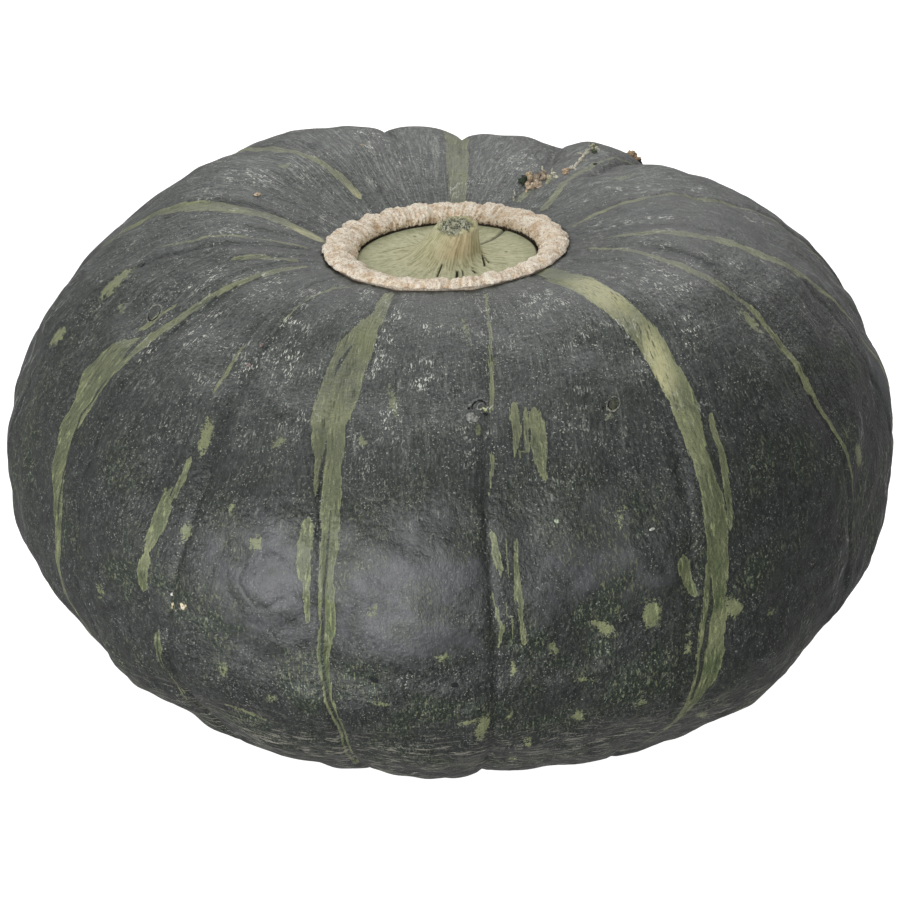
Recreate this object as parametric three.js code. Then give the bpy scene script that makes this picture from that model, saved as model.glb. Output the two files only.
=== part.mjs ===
// A buttercup squash, standing with its blossom end up as it rests on a table.
// Millimetres, +Z up, front towards -Y. The origin is on the table, under the middle of the fruit.
// Heights and radii below are measured from the middle of the waist, where the fruit is widest.
import * as THREE from 'three';
import { mergeVertices } from 'three/addons/utils/BufferGeometryUtils.js';

const DEGREE = THREE.MathUtils.DEG2RAD;

// The middle of the waist above the origin.
const WAIST = new THREE.Vector3(1.48, 0.56, 48.5);

// The fruit before its ribs: two half super-ellipses of turning, flatter above than below.
const HALF_WIDTH = 95;
const RISE = 66;
const RISE_POWER = 2.35;
const DROP = 58.6;
const DROP_POWER = 1.86;

// The sunken crown round the blossom scar, deeper at the back than at the front right.
const BASIN = 14.4;
const BASIN_TILT = 3.6;
const BASIN_TURN = 27 * DEGREE;
const BASIN_RADIUS = 38;

// The hollow round the stem underneath, and the plane that the ribs' bellies rest on.
const STEM_BASIN = 22;
const STEM_BASIN_RADIUS = 26;
const STEM_SEAT_RADIUS = 12.5;

// Where the ribs meet: the blossom scar has grown to the front left of the middle.
const POLE = new THREE.Vector2(-2.3, -12.5);
const PULL_POWER = 1.5;
// How much closer the ribs stand on the front side than on the back, and the radii that it sets in between.
const CROWDING = 0.45;
const CROWDING_SPAN = [26, 90];
// Lopsided growth in mm: shares of the cosine and sine of 2 and 3 turns in the outline seen from above,
// and of 1 and 2 turns in the height of the shoulder, which sets in between two radii.
const OVAL = [-0.8, -1.8, 0.8, 0.7];
const LEAN = [-3.4, 1.9, -3.1, 5.4];
const LEAN_SPAN = [22, 60];

// One vein a line, in degrees from the front, rising to the right: where its groove lies at the ring, on the
// shoulder and below the waist, then how deep the groove is in mm and how far the rib after it swells.
const VEINS = [
  [-167.5, -165.8, -164, 1.6, 0.6],
  [-145, -138.2, -141, 0.6, -2.0],
  [-107, -109.8, -109, 2.7, -1.3],
  [-85, -94.1, -90.2, 0.5, -1.9],
  [-70, -74, -69.9, 2.1, -0.5],
  [-48.5, -51.5, -53.8, 1.4, -0.6],
  [-23.5, -30, -25.5, 1.9, -0.8],
  [12, 8, 8.4, 2.6, -2.4],
  [45, 48.5, 44.3, 1.3, 0.3],
  [74, 75, 77.2, 1.0, -1.1],
  [90, 93.5, 92.7, 1.6, -2.5],
  [114, 119.4, 115, 1.1, 0.9],
  [136, 145.1, 143, 1.7, 2.0],
  [150, 159.2, 161, 0.8, 0.9],
  [175, 177.8, 180, 1.7, 0.5],
];
// The angles from the blossom end, in degrees, between which a vein passes from its first place to the
// second and from the second to the third, the ribs come up, and grooves and ribs fade out underneath.
const VEIN_SHOULDER = [17, 45];
const VEIN_LOW = [45, 100];
const RIB_RISE = [16, 40];
const GROOVE_RISE = [20, 50];
const GROOVE_FADE = [125, 172];
const GROOVE_AT_RING = 0.15;
const GROOVE_POWER = 2.2;
// Places across a rib that get a line of points, as a share of the way from one groove to the next.
const ACROSS = [0, 0.07, 0.2, 0.35, 0.5, 0.65, 0.8, 0.93];
const RIND_ROWS = 32;

// Soft swellings all over the rind, each wave shorter than the one before and turned on from it.
const SWELLINGS = 12;
const SWELLING_HEIGHT = 0.16;
const LONGEST_SWELLING = 40;
const SWELLING_SHRINK = 0.93;
const SWELLING_TURN = 2.4;
const SWELLING_PHASE = 1.7;
const SWELLING_RISE = [16, 30];

// The round seat that the blossom scar fills.
const SEAT_RADIUS = 24.9;
const SEAT_DEPTH = 4.3;
const GAP = 0.3;

// The corky ring: its mean radius and its lumps. One section point a line: out from the mean radius, up from
// the seat's edge, and the share of the lumps and of the ring's lean that the point takes.
const RING_RADIUS = 21.95;
const RING_SECTION = [
  [2.35, GAP - SEAT_DEPTH, 0],
  [2.35, 0.35, 0],
  [3.4, 0.55, 0.5],
  [2.7, 1.1, 0.9],
  [1.0, 1.45, 1],
  [-0.9, 1.15, 1],
  [-2.5, 0.05, 0.9],
  [-3.15, -1.0, 0.6],
  [-2.65, -2.0, 0],
  [-2.65, GAP - SEAT_DEPTH, 0],
];
const KNOBS = 27;
const KNOB_HEIGHT = 0.8;
const KNOB_POWER = 0.7;
const KNOB_MIDDLE = 0.6;
const STEPS_PER_KNOB = 4;
const RING_LEAN = 0.65;

// The pale button inside the ring with the stub of the flower's style. One profile point a line, from the
// button's slightly dished face in and up: the radius, and the height above the button's rim.
const BUTTON_RADIUS = 19;
const BUTTON_LEVEL = -2.3;
const BUTTON_PROFILE = [
  [19.0, 0.0],
  [17.8, -0.02],
  [16.6, -0.04],
  [15.4, -0.06],
  [14.2, -0.08],
];
const STYLE_PROFILE = [
  [12.4, 0.0],
  [9.8, 0.25],
  [8.4, 0.7],
  [7.2, 1.7],
  [6.2, 3.1],
  [5.4, 4.7],
  [4.7, 6.2],
  [4.1, 7.4],
  [3.3, 7.8],
  [1.7, 7.3],
  [0, 7.1],
];
// How far the style's top leans to the right, how much wider its foot is on the left, and its fibres' ribs.
const STYLE_SHIFT = 3.2;
const STYLE_HEIGHT = 7.8;
const STYLE_FLARE = 0.22;
const STYLE_RIBS = 9;
const STYLE_RIB_SHARE = 0.055;
const BUTTON_STEPS = 54;

// The cut stub of the stem underneath, clear of the table. One profile point a line, from the middle of the
// cut end out and up to the flare where it joined the fruit: the radius, and the height above the cut.
const STEM_RADIUS = 9.2;
const STEM_LENGTH = 6.2;
const STEM_PROFILE = [
  [0, 0.5],
  [5.52, 0.15],
  [8.4, 0],
  [9.2, 0.7],
  [9.276, 1.8],
  [9.504, 2.9],
  [9.884, 4.0],
  [10.416, 5.1],
  [11.1, 6.2],
  [0, 6.2],
];
const STEM_RIBS = 14;
const STEM_RIB_HEIGHT = 0.45;
const STEM_STEPS = 56;

// 0 below a, 1 above b, and a smooth ramp between them.
function smooth(a, b, x) {
  const u = THREE.MathUtils.clamp((x - a) / (b - a), 0, 1);
  return u * u * (3 - 2 * u);
}

// A round hollow of depth 1 that fades to nothing at the waist.
function hollow(radius, width) {
  return Math.exp(-((radius / width) ** 2)) - Math.exp(-((HALF_WIDTH / width) ** 2));
}

// The angle from the pole at which a half super-ellipse of this power has this radius.
function polarAngle(radius, power) {
  const share = radius / HALF_WIDTH;
  return Math.atan2(share, (1 - share ** power) ** (1 / power));
}

// A point of the fruit before its ribs, at an azimuth and an angle from the blossom end.
function smoothFruit(azimuth, polar) {
  const c = Math.cos(polar);
  const s = Math.sin(polar);
  const upper = c > 0;
  const power = upper ? RISE_POWER : DROP_POWER;
  const reach = (Math.abs(s) ** power + Math.abs(c) ** power) ** (-1 / power);
  const radius = HALF_WIDTH * s * reach;
  let z = (upper ? RISE : DROP) * c * reach;
  const crowd = CROWDING * (upper ? smooth(...CROWDING_SPAN, radius) : 1);
  const turn = azimuth - (crowd * Math.sin(azimuth) * (1 + Math.cos(azimuth))) / 2;
  if (upper) {
    const lean = LEAN[0] * Math.cos(turn) + LEAN[1] * Math.sin(turn)
      + LEAN[2] * Math.cos(2 * turn) + LEAN[3] * Math.sin(2 * turn);
    z += (z / RISE) * smooth(...LEAN_SPAN, radius) * lean;
    z -= (BASIN - BASIN_TILT * Math.cos(turn - BASIN_TURN)) * hollow(radius, BASIN_RADIUS);
  } else {
    z += STEM_BASIN * hollow(radius, STEM_BASIN_RADIUS);
  }
  const oval = OVAL[0] * Math.cos(2 * turn) + OVAL[1] * Math.sin(2 * turn)
    + OVAL[2] * Math.cos(3 * turn) + OVAL[3] * Math.sin(3 * turn);
  const wide = radius + oval * (radius / HALF_WIDTH) ** 3;
  const pull = Math.max(c, 0) ** PULL_POWER;
  return new THREE.Vector3(
    wide * Math.sin(turn) + POLE.x * pull,
    -wide * Math.cos(turn) + POLE.y * pull,
    z,
  );
}

// The outward direction of the smooth fruit there.
function smoothNormal(azimuth, polar) {
  const step = 1e-4;
  const along = smoothFruit(azimuth + step, polar).sub(smoothFruit(azimuth - step, polar));
  const down = smoothFruit(azimuth, polar + step).sub(smoothFruit(azimuth, polar - step));
  return down.cross(along).normalize();
}

// A sum of slow waves in evenly spread directions, each shorter than the last.
function swelling(point) {
  let height = 0;
  for (let i = 0; i < SWELLINGS; i += 1) {
    const up = 1 - (2 * i + 1) / SWELLINGS;
    const side = Math.sqrt(1 - up * up);
    const turn = SWELLING_TURN * i;
    const wave = new THREE.Vector3(side * Math.cos(turn), side * Math.sin(turn), up);
    const length = LONGEST_SWELLING * SWELLING_SHRINK ** i;
    height += Math.sin((2 * Math.PI * wave.dot(point)) / length + SWELLING_PHASE * i);
  }
  return SWELLING_HEIGHT * height;
}

// The azimuth of a vein's groove at an angle from the blossom end, counting veins on round the fruit.
function veinAzimuth(index, polar) {
  const count = VEINS.length;
  const [ring, shoulder, low] = VEINS[index % count];
  const degrees = polar / DEGREE;
  const bent = ring + (shoulder - ring) * smooth(...VEIN_SHOULDER, degrees)
    + (low - shoulder) * smooth(...VEIN_LOW, degrees);
  return (bent + 360 * Math.floor(index / count)) * DEGREE;
}

// A point of the rind: how far across which rib, and at what angle from the blossom end.
function rind(rib, across, polar) {
  const left = veinAzimuth(rib, polar);
  const right = veinAzimuth(rib + 1, polar);
  const azimuth = left + (right - left) * across;
  const leftDepth = VEINS[rib][3] * Math.max(1 - 2 * across, 0) ** GROOVE_POWER;
  const rightDepth = VEINS[(rib + 1) % VEINS.length][3] * Math.max(2 * across - 1, 0) ** GROOVE_POWER;
  const degrees = polar / DEGREE;
  const swell = VEINS[rib][4] * 4 * across * (1 - across) * smooth(...RIB_RISE, degrees);
  const strength = THREE.MathUtils.lerp(GROOVE_AT_RING, 1, smooth(...GROOVE_RISE, degrees))
    * (1 - smooth(...GROOVE_FADE, degrees));
  const point = smoothFruit(azimuth, polar);
  const height = (swell - leftDepth - rightDepth) * strength
    + swelling(point) * smooth(...SWELLING_RISE, degrees);
  point.addScaledVector(smoothNormal(azimuth, polar), height);
  point.z = Math.max(point.z, -WAIST.z);
  return point;
}

// The plane of the seat's edge, which the button, the ring and the style are set out from.
const SEAT_POLAR = polarAngle(SEAT_RADIUS, RISE_POWER);
const SEAT_PULL = Math.cos(SEAT_POLAR) ** PULL_POWER;
const SEAT_HEIGHT = RISE * (1 - (SEAT_RADIUS / HALF_WIDTH) ** RISE_POWER) ** (1 / RISE_POWER)
  - BASIN * hollow(SEAT_RADIUS, BASIN_RADIUS);
const SEAT_SLOPE = (BASIN_TILT * hollow(SEAT_RADIUS, BASIN_RADIUS)) / SEAT_RADIUS;

// The angle and height of the flat seat that the stem joins underneath.
const STEM_POLAR = Math.PI - polarAngle(STEM_SEAT_RADIUS, DROP_POWER);
const STEM_SEAT = smoothFruit(0, STEM_POLAR).z;

function overSeat(radius, azimuth, height) {
  return new THREE.Vector3(
    POLE.x * SEAT_PULL + radius * Math.sin(azimuth),
    POLE.y * SEAT_PULL - radius * Math.cos(azimuth),
    SEAT_HEIGHT + SEAT_SLOPE * radius * Math.cos(azimuth - BASIN_TURN) + height,
  );
}

// Moves every point of a geometry by a rule, then joins the points that meet and drops empty triangles.
function reshape(geometry, rule) {
  const source = geometry.clone();
  const place = source.attributes.position;
  for (let i = 0; i < place.count; i += 1) {
    const moved = rule(new THREE.Vector3().fromBufferAttribute(place, i), i).add(WAIST);
    place.setXYZ(i, moved.x, moved.y, moved.z);
  }
  source.deleteAttribute('normal');
  source.deleteAttribute('uv');
  const joined = mergeVertices(source, 1e-4);
  const kept = [];
  const index = joined.index.array;
  for (let i = 0; i < index.length; i += 3) {
    const [a, b, c] = index.slice(i, i + 3);
    if (a !== b && b !== c && c !== a) kept.push(a, b, c);
  }
  joined.setIndex(kept);
  joined.computeVertexNormals();
  return joined;
}

function finish(name, geometry, colour, roughness) {
  const mesh = new THREE.Mesh(geometry, new THREE.MeshStandardMaterial({ color: colour, roughness, metalness: 0 }));
  mesh.name = name;
  return mesh;
}

// The body of the fruit: a ball's grid laid over the rind, with a flat-floored seat at the top
// and a flat seat for the stem underneath.
function squashBody() {
  const columns = VEINS.length * ACROSS.length;
  const rows = RIND_ROWS + 3;
  return reshape(new THREE.SphereGeometry(1, columns, rows), (point, i) => {
    const row = Math.floor(i / (columns + 1));
    const column = (i % (columns + 1)) % columns;
    const rib = Math.floor(column / ACROSS.length);
    const across = ACROSS[column % ACROSS.length];
    if (row === 0) return overSeat(0, 0, -SEAT_DEPTH);
    if (row === 1) {
      const rim = rind(rib, across, SEAT_POLAR);
      const azimuth = Math.atan2(rim.x - POLE.x * SEAT_PULL, -(rim.y - POLE.y * SEAT_PULL));
      return overSeat(SEAT_RADIUS - GAP / 2, azimuth, -SEAT_DEPTH);
    }
    if (row === rows) return new THREE.Vector3(0, 0, STEM_SEAT);
    return rind(rib, across, THREE.MathUtils.lerp(SEAT_POLAR, STEM_POLAR, (row - 2) / RIND_ROWS));
  });
}

// The corky scar that the flower left: a lumpy rope laid round the seat.
function corkyRing() {
  const steps = KNOBS * STEPS_PER_KNOB;
  const loop = [...RING_SECTION, RING_SECTION[0]].map(([out, up]) => new THREE.Vector2(RING_RADIUS + out, up));
  return reshape(new THREE.LatheGeometry(loop, steps), (point, i) => {
    const step = Math.floor(i / loop.length) % steps;
    const [out, up, share] = RING_SECTION[(i % loop.length) % RING_SECTION.length];
    const turn = (2 * Math.PI * step) / steps;
    const azimuth = turn + 0.05 * Math.sin(2 * turn + 1) + 0.03 * Math.sin(5 * turn);
    const uneven = 0.75 + 0.25 * Math.sin(3 * turn + 2) * Math.sin(7 * turn);
    const knob = KNOB_HEIGHT * uneven * (Math.abs(Math.sin((KNOBS * turn) / 2)) ** KNOB_POWER - KNOB_MIDDLE);
    const lean = -RING_LEAN * Math.cos(azimuth);
    const radius = RING_RADIUS + out + Math.sign(out) * share * knob * Math.min(Math.abs(out) / 3, 1);
    return overSeat(radius, azimuth, up + share * (lean + KNOB_MIDDLE * knob));
  });
}

// The pale button with the fibrous stub of the style, which leans to the right.
function crownButton() {
  const underside = GAP - SEAT_DEPTH - BUTTON_LEVEL;
  const profile = [[0, underside], [BUTTON_RADIUS, underside], ...BUTTON_PROFILE, ...STYLE_PROFILE];
  const points = profile.map(([radius, height]) => new THREE.Vector2(radius, height));
  return reshape(new THREE.LatheGeometry(points, BUTTON_STEPS), (point) => {
    const radius = Math.hypot(point.x, point.z);
    const azimuth = Math.atan2(point.x, point.z);
    const height = point.y;
    const style = smooth(0.1, 1.2, height);
    const rib = 1 + STYLE_RIB_SHARE * style * Math.cos(STYLE_RIBS * azimuth + 1.1 * Math.sin(azimuth));
    const foot = smooth(12.4, 9, radius) * smooth(3.5, 0.3, height);
    const flare = 1 - STYLE_FLARE * foot * Math.sin(azimuth);
    const spot = overSeat(radius * rib * flare, azimuth, BUTTON_LEVEL + height);
    spot.x += STYLE_SHIFT * Math.max(height / STYLE_HEIGHT, 0);
    return spot;
  });
}

// The stub of the stem, cut short, flared where it joined the fruit and cracked lengthwise.
function stemStub() {
  const points = STEM_PROFILE.map(([radius, height]) => new THREE.Vector2(radius, height));
  return reshape(new THREE.LatheGeometry(points, STEM_STEPS), (point) => {
    const radius = Math.hypot(point.x, point.z);
    const azimuth = Math.atan2(point.x, point.z);
    const crack = STEM_RIB_HEIGHT * Math.cos(STEM_RIBS * azimuth + 0.8 * Math.sin(3 * azimuth));
    const wide = radius + crack * smooth(STEM_RADIUS / 2, STEM_RADIUS, radius);
    const height = STEM_SEAT - 2 * GAP - STEM_LENGTH + point.y;
    return new THREE.Vector3(wide * Math.sin(azimuth), -wide * Math.cos(azimuth), height);
  });
}

const squash = new THREE.Group();
squash.add(finish('squash_body', squashBody(), 0x46504b, 0.5));
squash.add(finish('corky_ring', corkyRing(), 0xd9c4a5, 0.9));
squash.add(finish('crown_button', crownButton(), 0xa3a985, 0.75));
squash.add(finish('stem_stub', stemStub(), 0x9c8f70, 0.9));

export default squash;
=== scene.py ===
"""A buttercup squash, standing with its blossom end up on a plain pale table under soft studio light.

Lengths are in millimetres, measured from the middle of the waist, until lay_grid makes a mesh in metres.
Azimuths run to the right from the front, and polar angles run down from the blossom end.
"""
import bpy
import numpy as np
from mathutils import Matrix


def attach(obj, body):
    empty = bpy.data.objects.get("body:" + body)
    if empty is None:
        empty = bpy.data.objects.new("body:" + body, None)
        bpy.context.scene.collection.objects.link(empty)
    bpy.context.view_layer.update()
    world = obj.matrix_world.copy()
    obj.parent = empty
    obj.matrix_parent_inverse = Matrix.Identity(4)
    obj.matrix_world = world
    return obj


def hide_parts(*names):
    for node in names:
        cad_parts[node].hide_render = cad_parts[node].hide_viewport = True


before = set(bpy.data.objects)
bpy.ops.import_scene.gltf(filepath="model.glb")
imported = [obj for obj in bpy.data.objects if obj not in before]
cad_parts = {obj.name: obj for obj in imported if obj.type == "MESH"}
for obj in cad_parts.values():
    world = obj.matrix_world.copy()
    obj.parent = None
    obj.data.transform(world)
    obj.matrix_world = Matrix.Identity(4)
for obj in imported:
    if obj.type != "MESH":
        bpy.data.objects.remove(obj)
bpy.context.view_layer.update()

# The camera: a long lens from the front, 28 degrees above the middle of the fruit's waist. Places in the
# picture are in pixels of a 900 pixel frame.
WAIST = np.array([1.48, 0.56, 48.5])
CAMERA_ELEVATION = np.radians(28)
CAMERA_DISTANCE = 800
PICTURE = 900
FOCAL_PIXELS = 3710
WAIST_PIXEL = (457.2, 458.0)

lens = bpy.data.cameras.new("camera")
lens.sensor_width = 36
lens.lens = lens.sensor_width * FOCAL_PIXELS / PICTURE
lens.shift_x = 0.5 - WAIST_PIXEL[0] / PICTURE
lens.shift_y = WAIST_PIXEL[1] / PICTURE - 0.5
camera = bpy.data.objects.new("camera", lens)
behind = np.array([0, -np.cos(CAMERA_ELEVATION), np.sin(CAMERA_ELEVATION)])
camera.location = (WAIST + CAMERA_DISTANCE * behind) / 1000
camera.rotation_euler = (np.pi / 2 - CAMERA_ELEVATION, 0, 0)
bpy.context.scene.collection.objects.link(camera)
bpy.context.scene.camera = camera


# The studio: a shooting table of white acrylic lit from below until no shadow shows on it, a large softbox
# low at the front left, one high at the back right, smaller ones and reflectors round them, and a dim room.
TABLE_HALF = 4000
TABLE_WHITE = "9c9c9a"
TABLE_GLOW = 1.0
ROOM_LIGHT = 0.3
# One soft light a line: azimuth and elevation in degrees, brightness, and how sharply it ends.
SOFTBOXES = [
    (-30, 8, 5.4, 9),
    (165, 45, 3.0, 9),
    (-60, 0, 0.75, 9),
    (20, 10, 1.2, 9),
    (-150, 45, 1.0, 9),
    (-28, -14, 2.2, 25),
    (-100, -12, 0.3, 6),
]


def colour(code):
    """The linear red, green, blue and alpha of an sRGB hex code."""
    srgb = np.array([int(code[i:i + 2], 16) for i in (0, 2, 4)]) / 255
    linear = np.where(srgb <= 0.04045, srgb / 12.92, ((srgb + 0.055) / 1.055) ** 2.4)
    return (*linear.tolist(), 1)


def node(tree, kind, *values, **settings):
    """Adds a shader node. Values go to its inputs in order, and capitalised names are inputs too. An input is
    set, or linked where its value is a socket or a node, which gives its first output in use."""
    made = tree.nodes.new("ShaderNode" + kind)
    for name, value in settings.items():
        if name[0].islower():
            setattr(made, name, value)
    sockets = [s for s in made.inputs if s.enabled]
    named = {s.name.replace(" ", "_"): s for s in reversed(sockets)}
    pairs = list(zip(sockets, values)) + [(named[k], v) for k, v in settings.items() if k[0].isupper()]
    for socket, value in pairs:
        if isinstance(value, bpy.types.Node):
            value = next(s for s in value.outputs if s.enabled)
        if isinstance(value, bpy.types.NodeSocket):
            tree.links.new(value, socket)
        else:
            socket.default_value = value
    return made


def new_material(name):
    """An empty procedural material, and its tree of nodes."""
    made = bpy.data.materials.new(name)
    made.use_nodes = True
    made.node_tree.nodes.clear()
    return made, made.node_tree


bpy.context.scene.view_settings.view_transform = "Standard"
room = bpy.data.worlds.new("studio")
room.use_nodes = True
room.node_tree.nodes.clear()
tree = room.node_tree
direction = node(tree, "TexCoord").outputs["Generated"]
light = ROOM_LIGHT
for azimuth, elevation, brightness, edge in SOFTBOXES:
    a, e = np.radians([azimuth, elevation])
    middle = (np.sin(a) * np.cos(e), -np.cos(a) * np.cos(e), np.sin(e))
    facing = node(tree, "VectorMath", direction, middle, operation="DOT_PRODUCT").outputs["Value"]
    falloff = node(tree, "Math", facing, edge, -edge, operation="MULTIPLY_ADD")
    glow = node(tree, "Math", falloff, operation="EXPONENT")
    light = node(tree, "Math", glow, brightness, light, operation="MULTIPLY_ADD")
background = node(tree, "Background", Strength=light)
node(tree, "OutputWorld", background)
bpy.context.scene.world = room

table_mesh = bpy.data.meshes.new("table")
corners = np.array([(-1, -1, 0), (1, -1, 0), (1, 1, 0), (-1, 1, 0)]) * TABLE_HALF / 1000
table_mesh.from_pydata(corners.tolist(), [], [(0, 1, 2, 3)])
table = bpy.data.objects.new("table", table_mesh)
bpy.context.scene.collection.objects.link(table)
# White acrylic: matt, and glowing evenly from the lamps under it.
acrylic, tree = new_material("acrylic, white, backlit")
surface = node(
    tree, "BsdfPrincipled", Base_Color=colour(TABLE_WHITE), Roughness=0.9, Specular_IOR_Level=0.1,
    Emission_Color=colour("ffffff"), Emission_Strength=TABLE_GLOW,
)
node(tree, "OutputMaterial", surface)
table_mesh.materials.append(acrylic)
# The dark rind mirrors the dim room and not the table.
table.visible_glossy = False
table.visible_diffuse = False


# The rind: the hard, waxy, dark green skin of the fruit. It has grown in fifteen ribs between its veins, is
# widest at the waist, and sinks in round the blossom scar on top and round the stem underneath.
HALF_WIDTH = 95
RISE = 66
RISE_POWER = 2.35
DROP = 58.6
DROP_POWER = 1.86
BASIN = 14.4
BASIN_TILT = 3.6
BASIN_TURN = np.radians(27)
BASIN_RADIUS = 38
STEM_BASIN = 22
STEM_BASIN_RADIUS = 26
STEM_SEAT_RADIUS = 12.5
POLE = np.array([-2.3, -12.5])
PULL_POWER = 1.5
CROWDING = 0.45
CROWDING_SPAN = (26, 90)
# Sines round the fruit that make it oval and lean its shoulder: turns, and heights of cosine and sine in mm.
OVAL = [(2, -0.8, -1.8), (3, 0.8, 0.7)]
LEAN = [(1, -3.4, 1.9), (2, -3.1, 5.4)]
LEAN_SPAN = (22, 60)
SEAT_RADIUS = 24.9
SEAT_DEPTH = 4.3
GAP = 0.3
# One vein a line, in degrees: where its groove lies at the ring, on the shoulder and below the waist, then
# the groove's depth and the swell of the rib after it, in mm.
VEINS = np.array([
    [-167.5, -165.8, -164, 1.6, 0.6],
    [-145, -138.2, -141, 0.6, -2.0],
    [-107, -109.8, -109, 2.7, -1.3],
    [-85, -94.1, -90.2, 0.5, -1.9],
    [-70, -74, -69.9, 2.1, -0.5],
    [-48.5, -51.5, -53.8, 1.4, -0.6],
    [-23.5, -30, -25.5, 1.9, -0.8],
    [12, 8, 8.4, 2.6, -2.4],
    [45, 48.5, 44.3, 1.3, 0.3],
    [74, 75, 77.2, 1.0, -1.1],
    [90, 93.5, 92.7, 1.6, -2.5],
    [114, 119.4, 115, 1.1, 0.9],
    [136, 145.1, 143, 1.7, 2.0],
    [150, 159.2, 161, 0.8, 0.9],
    [175, 177.8, 180, 1.7, 0.5],
])
VEIN_SHOULDER = (17, 45)
VEIN_LOW = (45, 100)
RIB_RISE = (16, 40)
GROOVE_RISE = (20, 50)
GROOVE_FADE = (125, 172)
GROOVE_AT_RING = 0.15
GROOVE_POWER = 2.2
SWELLINGS = 12
SWELLING_HEIGHT = 0.16
LONGEST_SWELLING = 40
SWELLING_SHRINK = 0.93
SWELLING_TURN = 2.4
SWELLING_PHASE = 1.7
SWELLING_RISE = (16, 30)
# Relief finer than the swellings: the length and height of each size of lump, in mm.
LUMPS = [(13, 0.13), (8, 0.1), (5, 0.055)]
LUMP_WAVES = 9
# The crease along the bottom of each groove, and the pleats that run out from under the ring.
CREASE_DEPTH = 0.4
CREASE_WIDTH = 0.8
CREASE_RISE = (20, 34)
PLEATS = [37, 53, 71, 86]
PLEAT_HEIGHT = 0.08
PLEAT_RISE = (14, 18)
PLEAT_FADE = (19, 42)
# Rings of growth, like ripples: azimuth and polar angle of the middle in degrees, then reach, spacing and
# height in mm. They waver by lumps of the lengths and heights in RIPPLE_WAVER.
RIPPLES = [
    (-38, 71, 14, 5.4, 0.1),
    (-11, 69.5, 16, 7, 0.03),
    (31.3, 68.6, 11, 5.5, 0.04),
    (100, 75, 13, 5.0, 0.05),
    (-110, 68, 12, 4.8, 0.05),
    (170, 80, 14, 5.2, 0.05),
]
RIPPLE_WAVER = [(17, 1.5), (6, 0.5)]
# Columns in each rib, and how much closer they lie at its veins.
RIND_COLUMNS = 32
BUNCHING = 0.05
RIND_ROWS = 203


def ramp(low, high, x):
    """3u² − 2u³, where u is how far x has come from low to high, between 0 and 1."""
    u = np.clip((x - low) / (high - low), 0, 1)
    return u * u * (3 - 2 * u)


def hollow(radius, width):
    """A round hollow: e to the power −(radius/width)², less what that is at the waist."""
    return np.exp(-(radius / width) ** 2) - np.exp(-(HALF_WIDTH / width) ** 2)


def polar_angle(radius, power):
    """The polar angle at which a super-ellipse of this power has this share of the half width."""
    share = radius / HALF_WIDTH
    return np.arctan2(share, (1 - share ** power) ** (1 / power))


def sines(terms, turn):
    """The sum of the cosines and sines of a few turns, each times its height."""
    return sum(c * np.cos(k * turn) + s * np.sin(k * turn) for k, c, s in terms)


def smooth_fruit(azimuth, polar):
    """The fruit before its ribs: |radius/95|^p + |height/rise|^p = 1, turned round an axis that leans to the
    front, with the crown and the stem end pressed in by hollows and sines of one to three turns added."""
    c, s = np.cos(polar), np.sin(polar)
    upper = c > 0
    power = np.where(upper, RISE_POWER, DROP_POWER)
    reach = (np.abs(s) ** power + np.abs(c) ** power) ** (-1 / power)
    radius = HALF_WIDTH * s * reach
    z = np.where(upper, RISE, DROP) * c * reach
    crowd = CROWDING * np.where(upper, ramp(*CROWDING_SPAN, radius), 1)
    turn = azimuth - crowd * np.sin(azimuth) * (1 + np.cos(azimuth)) / 2
    basin = (BASIN - BASIN_TILT * np.cos(turn - BASIN_TURN)) * hollow(radius, BASIN_RADIUS)
    top = z + z / RISE * ramp(*LEAN_SPAN, radius) * sines(LEAN, turn) - basin
    z = np.where(upper, top, z + STEM_BASIN * hollow(radius, STEM_BASIN_RADIUS))
    wide = radius + sines(OVAL, turn) * (radius / HALF_WIDTH) ** 3
    pull = np.maximum(c, 0) ** PULL_POWER
    return np.stack([wide * np.sin(turn) + POLE[0] * pull, -wide * np.cos(turn) + POLE[1] * pull, z], -1)


def steps_along(azimuth, polar):
    """How the smooth fruit's surface moves for one radian to the right and for one radian down."""
    step = 1e-4
    right = smooth_fruit(azimuth + step, polar) - smooth_fruit(azimuth - step, polar)
    down = smooth_fruit(azimuth, polar + step) - smooth_fruit(azimuth, polar - step)
    return right / (2 * step), down / (2 * step)


def unit(vectors):
    """Vectors divided by their lengths."""
    return vectors / np.linalg.norm(vectors, axis=-1, keepdims=True)


def waves(points, directions, lengths, phases):
    """The sum of sines of each point's distance along each direction, one sine a length."""
    along = points @ np.asarray(directions).T
    return np.sin(2 * np.pi * along / lengths + phases).sum(-1)


def swelling(points):
    """Twelve slow waves in evenly spread directions, each 7 % shorter than the one before."""
    i = np.arange(SWELLINGS)
    up = 1 - (2 * i + 1) / SWELLINGS
    side = np.sqrt(1 - up ** 2)
    directions = np.stack([side * np.cos(SWELLING_TURN * i), side * np.sin(SWELLING_TURN * i), up], -1)
    lengths = LONGEST_SWELLING * SWELLING_SHRINK ** i
    return SWELLING_HEIGHT * waves(points, directions, lengths, SWELLING_PHASE * i)


def lumps(points, sizes, seed):
    """For each size a sum of sines in random directions, of nearly that length, scaled to its height."""
    random = np.random.default_rng(seed)
    height = 0
    for length, tall in sizes:
        directions = unit(random.normal(size=(LUMP_WAVES, 3)))
        lengths = length * random.uniform(0.8, 1.25, LUMP_WAVES)
        phases = random.uniform(0, 2 * np.pi, LUMP_WAVES)
        height = height + tall * waves(points, directions, lengths, phases) / np.sqrt(LUMP_WAVES / 2)
    return height


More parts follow.
